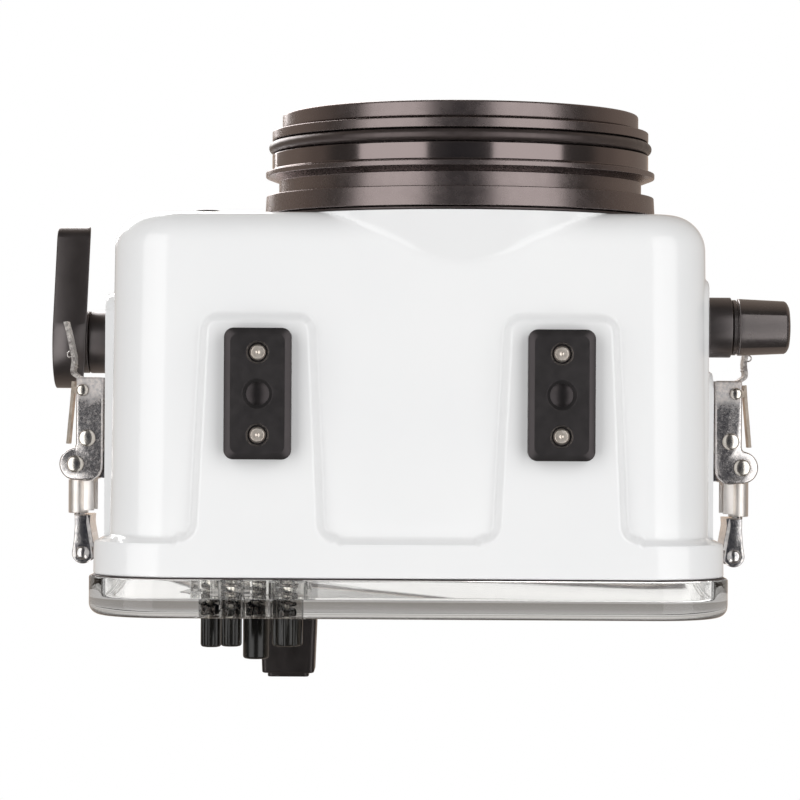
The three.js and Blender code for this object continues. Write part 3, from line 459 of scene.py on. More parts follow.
BLACK_TONES = ((0.011, 0.0095, 0.009), (0.018, 0.0155, 0.015))
CAP_TONES = ((0.008, 0.0074, 0.006), (0.012, 0.011, 0.0095))
FOOT_TONES = ((0.016, 0.0155, 0.0155), (0.024, 0.023, 0.023))
RUBBER_TONES = ((0.014, 0.0115, 0.0105), (0.022, 0.018, 0.017))
SHELL_TONES = ((0.865, 0.867, 0.87), (0.885, 0.886, 0.885))
WARM_TINT = (1, 0.83, 0.81)
SOFT_TINT = (1, 0.9, 0.88)
SHELL_COAT = {"Coat Weight": 0.25, "Coat Roughness": 0.06}


def tinted(ior, tint):
    return {"IOR": ior, "Specular Tint": (*tint, 1)}


def black_finish(name, low, high, grain=2600, height=0.003, tones=BLACK_TONES, ior=1.5, tint=(1, 1, 1)):
    """A black moulding or coating, its roughness between low and high."""
    return finish(name, tones, (90, 5), (low, high), (350, 5), (grain, 3, height), tinted(ior, tint))


# Painted shade in the clear back: distance from the rear face, and how much of each colour one surface lets
# through there; the grey bands stand in for shade seen through the plate
PLATE_PAINTED_SHADE = (
    (20, (0.99, 0.985, 0.98)),
    (4.95, (0.98, 0.975, 0.965)),
    (4.85, (0.38, 0.35, 0.32)),
    (4.2, (0.4, 0.38, 0.36)),
    (2.3, (0.5, 0.49, 0.48)),
    (1.5, (0.56, 0.55, 0.53)),
    (1.0, (0.98, 0.97, 0.96)),
)


def clear_plastic():
    """Clear moulding, with grey bands of painted shade in its rear plate that stand in for the dimming where
    light travels far inside.
    """
    material, tree, surface = node_material("clear_back")
    low, high = BACK_LOW[1] - 1, BACK_HIGH[1] + 1
    depth = spread(tree, object_y(tree), 0, 1, low * MM, high * MM)
    # Painted shade: grey steps by distance from the rear face, multiplied into the clear tint below
    steps = [((BACK_HIGH[1] - level - low) / (high - low), colour) for level, colour in PLATE_PAINTED_SHADE]
    cloudy = blend_colours(tree, clouds(tree, 60, 3), (0.99, 0.99, 0.985), (0.998, 0.998, 0.995))
    tint = blend_colours(tree, 1, cloudy, colour_steps(tree, depth, steps), blend_type="MULTIPLY")
    rough = spread(tree, noise(tree, 400, 4), 0, 0.004)
    feed(tree, surface, {"Base Color": tint, "Roughness": rough, "IOR": 1.12, "Transmission Weight": 1})
    feed(tree, surface, {"Coat Weight": 0.5, "Coat Roughness": 0.02})
    relief(tree, surface, (60, 2, 0.002))
    inside = add(tree, "VolumeAbsorption", {"Color": (0.5, 0.47, 0.43, 1), "Density": 1.5}, "Volume")
    feed(tree, tree.nodes["Material Output"], {"Volume": inside})
    return material


DRAWN_SHEET = ((1750, 4, 0.008),)
FINE_GRAIN = (300, 1, 0.004)
SOFT_WAVES = (300, 2, 0.02)
WORN_SHEET = ((50, 1, 0.3), (500, 2, 0.012), (2600, 2, 0.011))


def metal(name, dark, bright, low, high, mottle, *layers):
    """Bare or plated metal in patches of two tones, its roughness between low and high."""
    material, tree, surface = node_material(name)
    patches = spread(tree, noise(tree, mottle, 6, 0.65), 0, 1, 0.35, 0.65)
    colour = blend_colours(tree, patches, dark, bright)
    rough = spread(tree, noise(tree, mottle * 1.7, 5, 0.6), low, high)
    feed(tree, surface, {"Base Color": colour, "Metallic": 1, "Roughness": rough})
    relief(tree, surface, *(layers or DRAWN_SHEET))
    return material


WHITE = finish("white_shell", SHELL_TONES, (30, 4), (0.13, 0.19), (220, 5), (900, 2, 0.004), SHELL_COAT)
BLACK = black_finish("black_plastic", 0.3, 0.4, tint=SOFT_TINT)
CAP_BLACK = black_finish("cap_black", 0.18, 0.26, 2600, 0.002, CAP_TONES)
SATIN_BLACK = black_finish("satin_black", 0.3, 0.36, 1500, 0.0012, ior=2.15, tint=(1, 0.9, 0.89))
KNOB_BLACK = black_finish("knob_black", 0.22, 0.28, 1500, 0.002, ior=2.6, tint=SOFT_TINT)
ANODISED = black_finish("anodised_black", 0.24, 0.3, 1500, 0.0006, ior=2.8, tint=WARM_TINT)
NECK_BLACK = black_finish("neck_black", 0.24, 0.3, 1500, 0.0006, ior=2.8, tint=WARM_TINT)
polish_band(NECK_BLACK, front=-18.7, rear=-13.6, rough=0.13)
FOOT_BLACK = black_finish("foot_black", 0.3, 0.4, 4200, 0.004, FOOT_TONES, 1.55, (1, 0.88, 0.9))
SEAL_GLOSS = tinted(1.9, WARM_TINT)
RUBBER = finish("seal_rubber", RUBBER_TONES, (200, 5), (0.32, 0.45), (600, 4), (3000, 2, 0.004), SEAL_GLOSS)
CLEAR = clear_plastic()
NICKEL = metal("latch_metal", (0.5, 0.49, 0.5), (0.86, 0.82, 0.79), 0.12, 0.24, 900, *WORN_SHEET)
SHEET = metal("lever_sheet", (0.62, 0.6, 0.6), (0.95, 0.89, 0.85), 0.16, 0.3, 900, *WORN_SHEET)
dulled_end(SHEET, full=-4, none=2, rough=0.62)
SLEEVE_NICKEL = metal("sleeve_nickel", (0.93, 0.88, 0.83), (0.98, 0.94, 0.9), 0.42, 0.48, 300, FINE_GRAIN)
PALE_NICKEL = metal("pale_nickel", (0.25, 0.22, 0.21), (0.97, 0.92, 0.87), 0.4, 0.5, 900, (900, 3, 0.06))
STEEL = metal("satin_steel", (0.6, 0.58, 0.54), (0.74, 0.72, 0.68), 0.22, 0.36, 400)
BRIGHT_NICKEL = metal("bright_nickel", (0.74, 0.69, 0.62), (0.88, 0.84, 0.78), 0.16, 0.24, 300, SOFT_WAVES)
TAN_STEEL = metal("tan_steel", (0.66, 0.56, 0.46), (0.76, 0.67, 0.57), 0.3, 0.42, 500)
TURNED_STEEL = metal("turned_steel", (0.9, 0.8, 0.7), (0.95, 0.88, 0.79), 0.34, 0.42, 300, (1500, 2, 0.001))
SPRING_STEEL = metal("spring_steel", (0.05, 0.045, 0.04), (0.16, 0.14, 0.13), 0.2, 0.35, 900)


# Shell: base form, with raised pads, band and port boss as smooth offsets

HALF_FRONT = 81.6
HALF_REAR = 82.9
BASE_LOW = 8
BASE_HIGH = 130
EDGE_RADIUS = 17.5
FRONT_RADIUS = 10
REAR_RADIUS = 0.7
WALL = 4
RISE = 3
BAND_FRONT = 39.2
BAND_STEP = SHELL_HIGH[0] - HALF_REAR
BAND_LEAD = 1.6
BAND_RAMP = 2
PORT_HOLE = 49.3
BOSS_RADIUS = 57
BOSS_SLOPE = 0.48
BOSS_REACH = 26
BOSS_BLEND = 0.8

PAD_FRONT = -21
PAD_FLARE = 33.6
PAD_INNER = 27.8
PAD_WIDTH = 26.8
PAD_SPREAD = 2.4
PAD_FLARE_RADIUS = 5.4
PAD_SLOPE = 2.7
PAD_CORNER = 2.4

# Side pads: front edge, lowest and highest place
LEFT_PAD = (-28.8, 31, 112)
RIGHT_PAD = (-8, 31, 112)
ZOOM_PAD = (-33, 22, 112)
SIDE_PAD_CORNER = 6
SIDE_PAD_SLOPE = 1.6
SIDE_PAD_FACE = 85
ZOOM_PAD_FACE = 82.95
BUMP_PLACE = (-33, 58)
BUMP_RADIUS = 2.6
BUMP_HEIGHT = 1.7
BUMP_STEEPNESS = 1.6

# Steps of the shell's skin on its bottom, each corner, each side and the top, and from front to rear
BOTTOM_STEPS, CORNER_STEPS, SIDE_STEPS, TOP_STEPS = 290, 26, 92, 60
LENGTH_STEPS = 152

# How far along X a normal leans where the bottom ends, and where a side begins
BOTTOM_LEAN = 0.9
SIDE_LEAN = 0.3


def ramp(value):
    """0 to 1 with rounded ends."""
    t = np.clip(value, 0, 1)
    soft = 0.28
    top = 1 / (1 - soft)
    low = top * t**2 / (2 * soft)
    middle = top * (t - soft / 2)
    high = 1 - top * (1 - t) ** 2 / (2 * soft)
    return np.where(t < soft, low, np.where(t > 1 - soft, high, middle))


def smooth_max(a, b, reach):
    share = np.clip(0.5 + (a - b) / (2 * reach), 0, 1)
    return a * share + b * (1 - share) + reach * share * (1 - share)


def distance_to_outline(x, y, outline):
    """Signed distance from points to a closed outline, negative inside."""
    nearest = np.full(x.shape, np.inf)
    inside = np.zeros(x.shape, bool)
    count = len(outline)
    for i in range(count):
        ax, ay = outline[i]
        bx, by = outline[(i + 1) % count]
        dx, dy = bx - ax, by - ay
        t = np.clip(((x - ax) * dx + (y - ay) * dy) / (dx * dx + dy * dy + 1e-12), 0, 1)
        nearest = np.minimum(nearest, np.hypot(x - ax - t * dx, y - ay - t * dy))
        crosses = (ay > y) != (by > y)
        slope = dx / dy if dy else 0
        inside ^= crosses & (x < ax + slope * (y - ay))
    return np.where(inside, -nearest, nearest)


def finger_pad_outline():
    inner, outer, corner, flare = PAD_INNER, PAD_INNER + PAD_WIDTH, PAD_CORNER, PAD_FLARE_RADIUS
    low_x, high_x = inner - PAD_SPREAD - flare, outer + PAD_SPREAD + flare
    end = PAD_FLARE + flare + WALL
    points = arc((inner + corner, PAD_FRONT + corner), corner, 180, 270, 8)
    points += arc((outer - corner, PAD_FRONT + corner), corner, 270, 360, 8)
    points += arc((high_x, PAD_FLARE), flare, 180, 90, 12)
    points += [(high_x, end), (low_x, end)]
    return points + arc((low_x, PAD_FLARE), flare, 90, 0, 12)


def half_width(y):
    front, rear = SHELL_LOW[1], SHELL_HIGH[1]
    return HALF_FRONT + (HALF_REAR - HALF_FRONT) * (y - front) / (rear - front)


def at_level(y, outline):
    """Points of an outline across the view, at a place along Y."""
    return np.insert(outline, 1, y, axis=1)


def perimeter(y, inset):
    """Points and normals round the shell's base form at a place along Y, set in by a distance."""
    half, low, high, radius = half_width(y) - inset, BASE_LOW + inset, BASE_HIGH - inset, EDGE_RADIUS - inset
    x, z0, z1 = half - radius, low + radius, high - radius
    sides = (
        ((-x, low), (x, low), (x, z0), 270, BOTTOM_STEPS),
        ((half, z0), (half, z1), (x, z1), 0, SIDE_STEPS),
        ((x, high), (-x, high), (-x, z1), 90, TOP_STEPS),
        ((-half, z1), (-half, z0), (-x, z0), 180, SIDE_STEPS),
    )
    points, normals = [], []
    for *places, facing, steps in sides:
        start, end, centre = (np.array(place) for place in places)
        points += [start + (end - start) * (i / steps) for i in range(steps)]
        normals += [direction(facing)] * steps
        for i in range(CORNER_STEPS):
            normals.append(direction(facing + 90 * i / CORNER_STEPS))
            points.append(centre + radius * normals[-1])
    return np.array(points), np.array(normals)


def side_pad(y, z, pad):
    front, low, high = pad
    outline = rounded_outline([front, BAND_FRONT + WALL], [low, high], SIDE_PAD_CORNER, 6)
    return ramp(1 - distance_to_outline(y, z, outline) / SIDE_PAD_SLOPE)


def sides_raised(y, z, left, right):
    """How far the pads and the small bump stand out of the two sides."""
    out = np.zeros_like(y)
    half = half_width(y)
    out[left] = side_pad(y[left], z[left], LEFT_PAD) * (SIDE_PAD_FACE - half[left])
    away = np.hypot(y[left] - BUMP_PLACE[0], z[left] - BUMP_PLACE[1])
    out[left] = np.maximum(out[left], BUMP_HEIGHT * ramp(BUMP_STEEPNESS * (1 - away / BUMP_RADIUS)))
    high = side_pad(y[right], z[right], RIGHT_PAD) * (SIDE_PAD_FACE - half[right])
    low = side_pad(y[right], z[right], ZOOM_PAD) * (ZOOM_PAD_FACE - half[right])
    out[right] = np.maximum(high, low)
    return out


def shell_outside():
    """Rows of points over the outside of the shell, from its front to its rear edge."""
    front, rear = SHELL_LOW[1], SHELL_HIGH[1]
    levels = [(front + along, inset) for along, inset in quarter_round(FRONT_RADIUS, 16)]
    levels += [(y, 0) for y in np.linspace(front + FRONT_RADIUS, rear - 1, LENGTH_STEPS)[1:]]
    levels += [(rear - along, inset) for inset, along in quarter_round(REAR_RADIUS, 5)]
    rows, normals = [], []
    for level, inset in levels:
        points, normal = perimeter(level, inset)
        rows.append(at_level(level, points))
        normals.append(normal)
    outside, normal = np.array(rows), np.array(normals)
    x, y, z = (outside[..., axis].copy() for axis in range(3))
    band = ramp((y - BAND_FRONT + BAND_LEAD) / BAND_RAMP)
    low_half = z < (BASE_LOW + BASE_HIGH) / 2
    pads = np.zeros_like(x)
    flat = low_half & (np.abs(normal[..., 0]) < BOTTOM_LEAN)
    pads[flat] = ramp(1 - distance_to_outline(np.abs(x[flat]), y[flat], finger_pad_outline()) / PAD_SLOPE)
    outside[..., 2] += normal[..., 1] * RISE * np.where(low_half, np.maximum(band, pads), band)
    sides = np.abs(normal[..., 0]) > SIDE_LEAN
    out = sides_raised(y, z, sides & (x < 0), sides & (x > 0))
    faded = out * (1 - band)
    out = np.maximum(faded, 0) + np.where(band > 0, np.maximum(out, BAND_STEP * band) - faded, 0)
    outside[..., 0] += normal[..., 0] * out
    inside = (BOSS_RADIUS - BOSS_SLOPE * (y - front)) ** 2 - (x - PORT_X) ** 2
    boss = PORT_Z - np.sqrt(np.maximum(inside, 0))
    lower = -smooth_max(-outside[..., 2], -boss, BOSS_BLEND)
    near = low_half & (inside > 0) & (y < front + BOSS_REACH)
    outside[..., 2] = np.where(near, lower, outside[..., 2])
    return outside


def shell_piece():
    outside = shell_outside()
    columns = outside.shape[1]
    front, rear = SHELL_LOW[1], SHELL_HIGH[1]
    around = np.arctan2(outside[0, :, 2] - PORT_Z, outside[0, :, 0] - PORT_X)

    hole = np.column_stack([PORT_X + PORT_HOLE * np.cos(around), PORT_Z + PORT_HOLE * np.sin(around)])
    inner = [(front + WALL + along, WALL + inset) for along, inset in quarter_round(FRONT_RADIUS - WALL, 8)]
    loops = [at_level(front + WALL, hole), at_level(front, hole), outside.reshape(-1, 3)]
    loops += [at_level(y, perimeter(y, inset)[0]) for y, inset in [(rear, WALL), *reversed(inner)]]
    put(shade(skin("shell_moulding", np.vstack(loops), columns, ring=True), 40), WHITE, "front_shell")


# Port: radii, and levels from the shell's front face

PORT_BORE = 46.5
SPIGOT = 49
SLEEVE = 48.6
NECK_BASE, NECK_BASE_END, GROOVE_END, LIP, FLANGE_END = -1.2, -6.6, -10.7, -12.1, -13.5
LAND_END, WAIST_END, NECK_END, NECK_SEAT, NECK_INNER_END = -18.6, -22.5, -25.2, -15.9, 4.5


def port_pieces():
    front = SHELL_LOW[1]
    centre = (PORT_X, front, PORT_Z)
    base, groove, flange, land, waist = 55.9, 52, 55.8, 54, 51.35
    neck_profile = [
        (PORT_BORE, NECK_INNER_END),
        (SPIGOT, NECK_INNER_END),
        (SPIGOT, NECK_BASE),
        (base, NECK_BASE),
        (base - 0.3, NECK_BASE_END),
        (groove, NECK_BASE_END),
        (groove, GROOVE_END),
        (flange, LIP),
        (flange, FLANGE_END),
        (land, FLANGE_END - 0.5),
        (land, LAND_END),
        (waist, LAND_END),
        (waist, WAIST_END),
        (land, WAIST_END),
        (land, NECK_END),
        (SLEEVE + GAP, NECK_END),
        (SLEEVE + GAP, NECK_SEAT),
        (PORT_BORE, NECK_SEAT),
    ]
    neck = turned_ring("neck_turning", neck_profile, 0.35, 4, centre, sides=220)
    put(flat_between(shade(neck)), NECK_BLACK, "port_neck")
    inner, outer, depth = SPIGOT + GAP, 55.4, -0.9
    gasket_profile = [(inner, -GAP), (outer, -GAP), (outer, depth), (inner, depth)]
    put(shade(turned_ring("neck_gasket", gasket_profile, 0.15, 3, centre)), RUBBER, "port_gasket")
    end, step, outer = corners("port_front_ring")[0][1] - front, NECK_END - GAP, 51.1
    seat = NECK_SEAT - GAP
    ring_profile = [(PORT_BORE, seat), (SLEEVE, seat), (SLEEVE, step)]
    ring_profile += [(outer, step), (outer, end), (PORT_BORE, end)]
    ring = turned_ring("neck_front_ring", ring_profile, 0.8, 6, centre, sides=220)
    put(flat_between(shade(ring)), ANODISED, "port_front_ring")
    section, outer, middle = 1.65, 54.95, -20.55
    loop = [(outer - section + r, a + middle) for r, a in arc((0, 0), section, 0, 345, 23)]
    put(shade(lathe("neck_oring", loop, centre, sides=200, ring=True), 60), RUBBER, "port_oring")


# Feet, screws, tray

FOOT_X = 41
FOOT_Y = -1.5
SCREW_SPACING = 22.3
THREAD_RADIUS = 3.18


def foot_outlines(half_x, half_y, high):
    """The foot's outline at each level: a small rim, a shallow chamfer, the side and a small upper edge."""
    chamfer, fall, rim = 1.6, 0.62, 0.16
    slope = math.radians(21)
    levels = [(0, chamfer + rim)]
    for i in range(1, 5):
        angle = slope * i / 4
        levels.append((rim * (1 - math.cos(angle)), chamfer + rim * (1 - math.sin(angle))))
    levels += [(fall - 0.03, 0.09), (fall + 0.06, 0), (high - 0.15, 0), (high, 0.15)]
    return [(level, centred_outline(half_x - i, half_y - i, 2.6 - 0.35 * i, 12)) for level, i in levels]


def foot_pieces():
    low, high = corners("tray_foot_left")
    outlines = foot_outlines((high[0] - low[0]) / 2, (high[1] - low[1]) / 2, high[2])
    thread = [(ON_AXIS, -1), (4.1, -1), (4.1, 0), (THREAD_RADIUS, 0.9)]
    for turn in range(5):
        level = 1.1 + turn * 0.6
        thread += [(THREAD_RADIUS, level), (THREAD_RADIUS + 0.24, level + 0.3)]
    thread += [(3.1, 3.9), (2.7, 4.1), (2.1, 4.3), (1.4, 4.45), (0.7, 4.53), (ON_AXIS, 4.55)]
    recess = [(ON_AXIS, -1), (3.1, -1), (3.1, 0), (2.65, 0.9), (2.65, 1.9)]
    recess += [(1.8, 1.9), (1.8, 6), (ON_AXIS, 6)]
    head = [(ON_AXIS, 1.36), (0.15, 1.34), (0.4, 1.17), (0.6, 1.12), (1.7, 1.12), (2.25, 1.45), (2.25, 3.2)]
    head += [(1.5, 3.2), (1.5, 10.6), (ON_AXIS, 10.6)]
    for side, label in ((-1, "left"), (1, "right")):
        centre = (side * FOOT_X, FOOT_Y, 0)
        foot = loft(f"foot_pad_{label}", outlines, "z", centre)
        cutters = [lathe("thread", thread, centre, "z", 64)]
        for sign, end in ((-1, "front"), (1, "rear")):
            place = (centre[0], centre[1] + sign * SCREW_SPACING / 2, 0)
            cutters.append(lathe("recess", recess, place, "z", 64))
            screw = lathe(f"foot_pin_{label}_{end}", filleted(head, 0.1, 2), place, "z", 64)
            put(shade(screw, 30), TURNED_STEEL, f"foot_screw_{label}_{end}")
        cut(foot, *cutters)
        put(shade(soften(foot, 0.07, 2), 40), FOOT_BLACK, f"tray_foot_{label}")


def tray_piece():
    low, high = corners("camera_tray")
    half_x, front, rear, screw_y = 60, -26, 42, 12
    tray = slab("tray_plate", rounded_outline([-half_x, half_x], [front, rear], 4, 8), 17, 20)
    for side in (-1, 1):
        outline = rounded_outline(span(side, half_x - 8, half_x), [front + 4, rear - 4], 1.5, 4)
        join(tray, slab("rail", outline, low[2], 18))
    lip = rounded_outline([8 - half_x, half_x - 8], [front, front + 2], 0.6, 3)
    join(tray, slab("lip", lip, 19, high[2]))
    cut(tray, rod("hole", 3.4, 10, 24, (0, screw_y, 0), "z", 40))
    put(shade(soften(tray, 0.4), 40), BLACK, "camera_tray")
    head = [(ON_AXIS, 13.1), (6.2, 13.1), (7, 13.8), (7, 16.1), (6.4, 16.7), (3.1, 16.7), (3.1, 23.6)]
    head += [(2.6, 24.1), (ON_AXIS, 24.1)]
    put(shade(lathe("tray_screw", filleted(head, 0.25), (0, screw_y, 0), "z", 64)), STEEL, "camera_screw")


# Clear back, seal, buttons

BACK_HALF = BACK_HIGH[0]
BACK_FRONT = BACK_LOW[1]
BACK_REAR = BACK_HIGH[1]
BACK_EDGE = 21.5
BACK_ROUND = 3.2
BACK_RIM = 5
BACK_WALL = 5
PAN_REAR = BACK_REAR - BACK_WALL
PAN_ROUND = 0.8
PAN_CORNER = 15.5
SEAL_SEAT = BACK_FRONT + 0.25
BOSS_FRONT = BACK_FRONT + 0.7
SPRING_FLOOR = BOSS_FRONT + 1.6
CAP_BASE = -0.8
STEM_RADIUS = 1.5
SHAFT_RADIUS = 3

# Caps of the buttons: x, z, radius, how far they stand out, and number of flutes
CAPS = [
    (-55.5, 40, 2.95, 10.3, 9),
    (-49, 25, 2.95, 8.9, 9),
    (-42.7, 38.5, 3.7, 13.4, 0),
    (-33.5, 25, 4.3, 8.7, 9),
    (-42.7, 53.5, 3.7, 8, 0),
    (-55.3, 56, 2.95, 8, 9),
]
BLOCK = (-34.6, 72)


def back_outline(inset, corner=BACK_EDGE):
    low, high = BACK_LOW[2] + inset, BACK_HIGH[2] - inset
    return rounded_outline([inset - BACK_HALF, BACK_HALF - inset], [low, high], corner - inset, 24)


def back_rings(inset, rear, rounding, steps, corner=BACK_EDGE):
    """Outlines round a form of the back up to its rounded rear edge."""
    edge = quarter_round(rounding, steps)
    return [(rear - along, back_outline(inset + further, corner)) for further, along in edge]


def back_piece():
    rings = [(BACK_FRONT + along, back_outline(inset)) for along, inset in ((0, 0.5), (0.15, 0.15), (0.5, 0))]
    cover = loft("back_moulding", rings + back_rings(0, BACK_REAR, BACK_ROUND, 12))
    pan = [(BACK_FRONT - 1, back_outline(BACK_RIM, PAN_CORNER))]
    cut(cover, loft("pan", pan + back_rings(BACK_RIM, PAN_REAR, PAN_ROUND, 6, PAN_CORNER)))
    for x, z, *_ in CAPS:
        join(cover, rod("boss", 5.9, BOSS_FRONT, PAN_REAR + 1, (x, 0, z), "y", 64, 0.4))
    block_centre = (BLOCK[0], 0, BLOCK[1])
    join(cover, rod("boss", 6.5, BOSS_FRONT, PAN_REAR + 1, block_centre, "y", 64, 0.4))
    groove = loft("groove", [(level, back_outline(0.9)) for level in (BACK_FRONT - 1, SEAL_SEAT)])
    cut(groove, loft("island", [(level, back_outline(4)) for level in (BACK_FRONT - 2, BACK_FRONT + 3)]))
    cut(cover, groove)
    for x, z, radius, *_ in CAPS:
        cut(cover, rod("pocket", radius + GAP, SPRING_FLOOR, BACK_REAR + 1, (x, 0, z), "y", 64))
        cut(cover, rod("bore", STEM_RADIUS + GAP, BACK_FRONT - 1, BACK_REAR, (x, 0, z), "y", 40))
    cut(cover, rod("bore", SHAFT_RADIUS + GAP, BACK_FRONT - 1, BACK_REAR + 1, block_centre))
    put(shade(cover, 30), CLEAR, "back_cover")


def seal_piece():
    front, rear, inner = SHELL_HIGH[1] + 0.08, SEAL_SEAT - 0.05, 3.8
    rings = [(front, 1.15), (front + 0.1, 1.02), (rear - 0.1, 1.02), (rear, 1.15)]
    rings += [(rear, inner), (front, inner)]
    seal = loft("back_seal", [(level, back_outline(inset)) for level, inset in rings], ring=True)
    put(shade(seal, 60), RUBBER, "back_oring")


def helix(name, centre, radius, wire, low, high, turns, sides=8, per_turn=28):
    """A spring along Y from low to high."""
    count = int(turns * per_turn) + 1
    rows = []
    for i in range(count):
        t = i / (count - 1)
        angle = 2 * math.pi * turns * t
        level = low + wire + (high - low - 2 * wire) * np.clip((t * turns - 0.75) / (turns - 1.5), 0, 1)
        out = np.array((math.cos(angle), 0, math.sin(angle)))
        for k in range(sides):
            a = 2 * math.pi * k / sides
            point = out * (radius + wire * math.cos(a)) + np.array((0, level + wire * math.sin(a), 0))
            rows.append(point + np.array(centre))
    return skin(name, rows, sides, tuple(centre))


def button_pieces():
    low, base = -8.5 - BACK_WALL, CAP_BASE
    stem = [(ON_AXIS, low), (2.6, low), (2.6, low + 1.6), (STEM_RADIUS, low + 1.6)]
    stem += [(STEM_RADIUS, base + 1.7), (ON_AXIS, base + 1.7)]
    for number, (x, z, radius, proud, flutes) in enumerate(CAPS, 1):
        centre = (x, BACK_REAR, z)
        rings = [(base, 0.25, 0), (base + 0.25, 0, 0), (base + 0.9, 0, 0), (base + 1.5, 0, 1)]
        rings += [(proud - 0.9, 0, 1), (proud - 0.55, 0.08, 0.9), (proud - 0.3, 0.22, 0.6)]
        rings += [(proud - 0.1, 0.5, 0.25), (proud, 0.95, 0), (proud, radius - 0.6, 0)]
        outlines = []
        for level, inset, share in rings:
            outline = fluted_outline(radius, flutes, 0.5 * share)
            outlines.append((level, outline * (1 - inset / radius)))
        cap = loft(f"cap_{number}", outlines, "y", centre)
        cut(cap, rod("socket", STEM_RADIUS + GAP, base - 1, base + 2, centre, "y", 32))
        put(shade(cap, 40), CAP_BLACK, f"button_{number}")
        plunger = lathe(f"plunger_{number}", filleted(stem, 0.25), centre, "y", 48)
        put(shade(plunger), STEEL, f"button_plunger_{number}")
        coil, wire = min(radius - 0.6, 2.6), 0.5
        low_end, high_end = SPRING_FLOOR + 0.05, BACK_REAR + base - 0.08
        spring = helix(f"spring_{number}", (x, 0, z), coil, wire, low_end, high_end, 4.5)
        dress(shade(spring, 80), SPRING_STEEL, "back")
        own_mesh(spring)


def block_pieces():
    """The rear lever's block with its raised face, and its shaft with the finger inside."""
    centre = (BLOCK[0], BACK_REAR, BLOCK[1])
    half_x, half_z, taper, corner = 8.25, 9, 0.7, 1.4
    end = GAP + 19.5

    def ring(level, inset):
        return level, centred_outline(half_x - inset, half_z - inset, corner, 8)

    rings = [ring(GAP, 0.3), ring(GAP + 0.3, 0)]
    rings += [ring(end - along, taper + inset) for inset, along in quarter_round(0.6, 6)]
    block = loft("control_block", rings, "y", centre)
    levels = ((-1, 0), (0.9, 0), (1.1, 0.2))
    face = [(end + along, centred_outline(5.95 - i, 7 - i, corner - i, 8)) for along, i in levels]
    join(block, loft("face", face, "y", centre))
    cut(block, rod("socket", SHAFT_RADIUS + GAP, -1, 8.3, centre, "y", 40))
    put(shade(block, 35), BLACK, "rear_lever")
    inner = -BACK_WALL - 9
    shaft = rod("control_shaft", SHAFT_RADIUS, inner, 8, centre, edge=0.3)
    join(shaft, slab("finger", rounded_outline([-1.2, 1.2], [inner, inner + 2.4], 0.4, 3), 0, 7, centre))
    put(shade(shaft), STEEL, "rear_lever_shaft")


# Controls on the sides, the top and the front: places across the view are (y, z)

SHUTTER = (-16.9, 100)
SHUTTER_TIP = (-46.1, 104)
SHUTTER_HUB = 13.9
SHUTTER_END = 5.8
LEVER_INNER = -96.1
LEVER_OUTER = -106.2
LEVER_EDGE = 0.35
LEVER_CROWN = 1.2
LEVER_TAPER = 8 / 30
LEVER_LEAN = 0.11
ZOOM = (-20.8, 34)
BORE = SHAFT_RADIUS + GAP


def taper_outline(a, a_radius, b, b_radius, steps=40):
    """The outline round two circles of different size."""
    a, b = np.array(a, float), np.array(b, float)
    along = b - a
    heading = math.atan2(along[1], along[0])
    lean = math.acos((a_radius - b_radius) / np.linalg.norm(along))
    points = []
    for centre, radius, start, turn in (
        (a, a_radius, heading + lean, 2 * math.pi - 2 * lean),
        (b, b_radius, heading - lean, 2 * lean),
    ):
        for i in range(steps + 1):
            angle = start + turn * i / steps
            points.append(centre + radius * np.array((math.cos(angle), math.sin(angle))))
    return np.array(points)


def gland(name, node, centre, inner, face, outer, flange, edge):
    """A sleeve through the shell's wall, with a flange outside."""
    profile = [(BORE, inner), (5, inner), (5, face), (flange, face), (flange, outer), (BORE, outer)]
    put(shade(turned_ring(name, profile, edge, 4, centre, "x", 120)), SATIN_BLACK, node)


def lever_form():
    """The shutter lever: a tapered arm, its rim crowned at the hub, its inner face leaning out upwards."""
    y, z = SHUTTER
    outline = taper_outline(SHUTTER, SHUTTER_HUB, SHUTTER_TIP, SHUTTER_END, 60)
    centre = np.array(SHUTTER, float)
    middle, half = (LEVER_INNER + LEVER_OUTER) / 2, (LEVER_INNER - LEVER_OUTER) / 2
    near = np.clip((z - outline[:, 1]) / (SHUTTER_HUB - LEVER_TAPER * (y - outline[:, 0])), 0, 1)

    def ring(x, inset):
        points = centre + (outline - centre) * (1 - inset / SHUTTER_HUB)
        points[:, 1] += LEVER_CROWN * ((x - middle) / half) ** 2 * near**2
        return x, points

    edge = quarter_round(LEVER_EDGE, 4)
    rings = [ring(LEVER_INNER - along, inset) for along, inset in edge[:-1]]
    rings += [ring(middle - (half - LEVER_EDGE) * share, 0) for share in np.linspace(-1, 1, 15)]
    rings += [ring(LEVER_OUTER + along, inset) for inset, along in edge[1:]]
    lever = loft("control_lever", rings, "x")
    for vertex in lever.data.vertices:
        along = (vertex.co.y / MM - y) / (SHUTTER_TIP[0] - y)
        lowest = z - SHUTTER_HUB + (SHUTTER_TIP[1] - z - SHUTTER_END + SHUTTER_HUB) * along
        share = (vertex.co.x / MM - LEVER_OUTER) / (LEVER_INNER - LEVER_OUTER)
        vertex.co.x -= LEVER_LEAN * share * max(0.0, vertex.co.z - lowest * MM)
    return lever


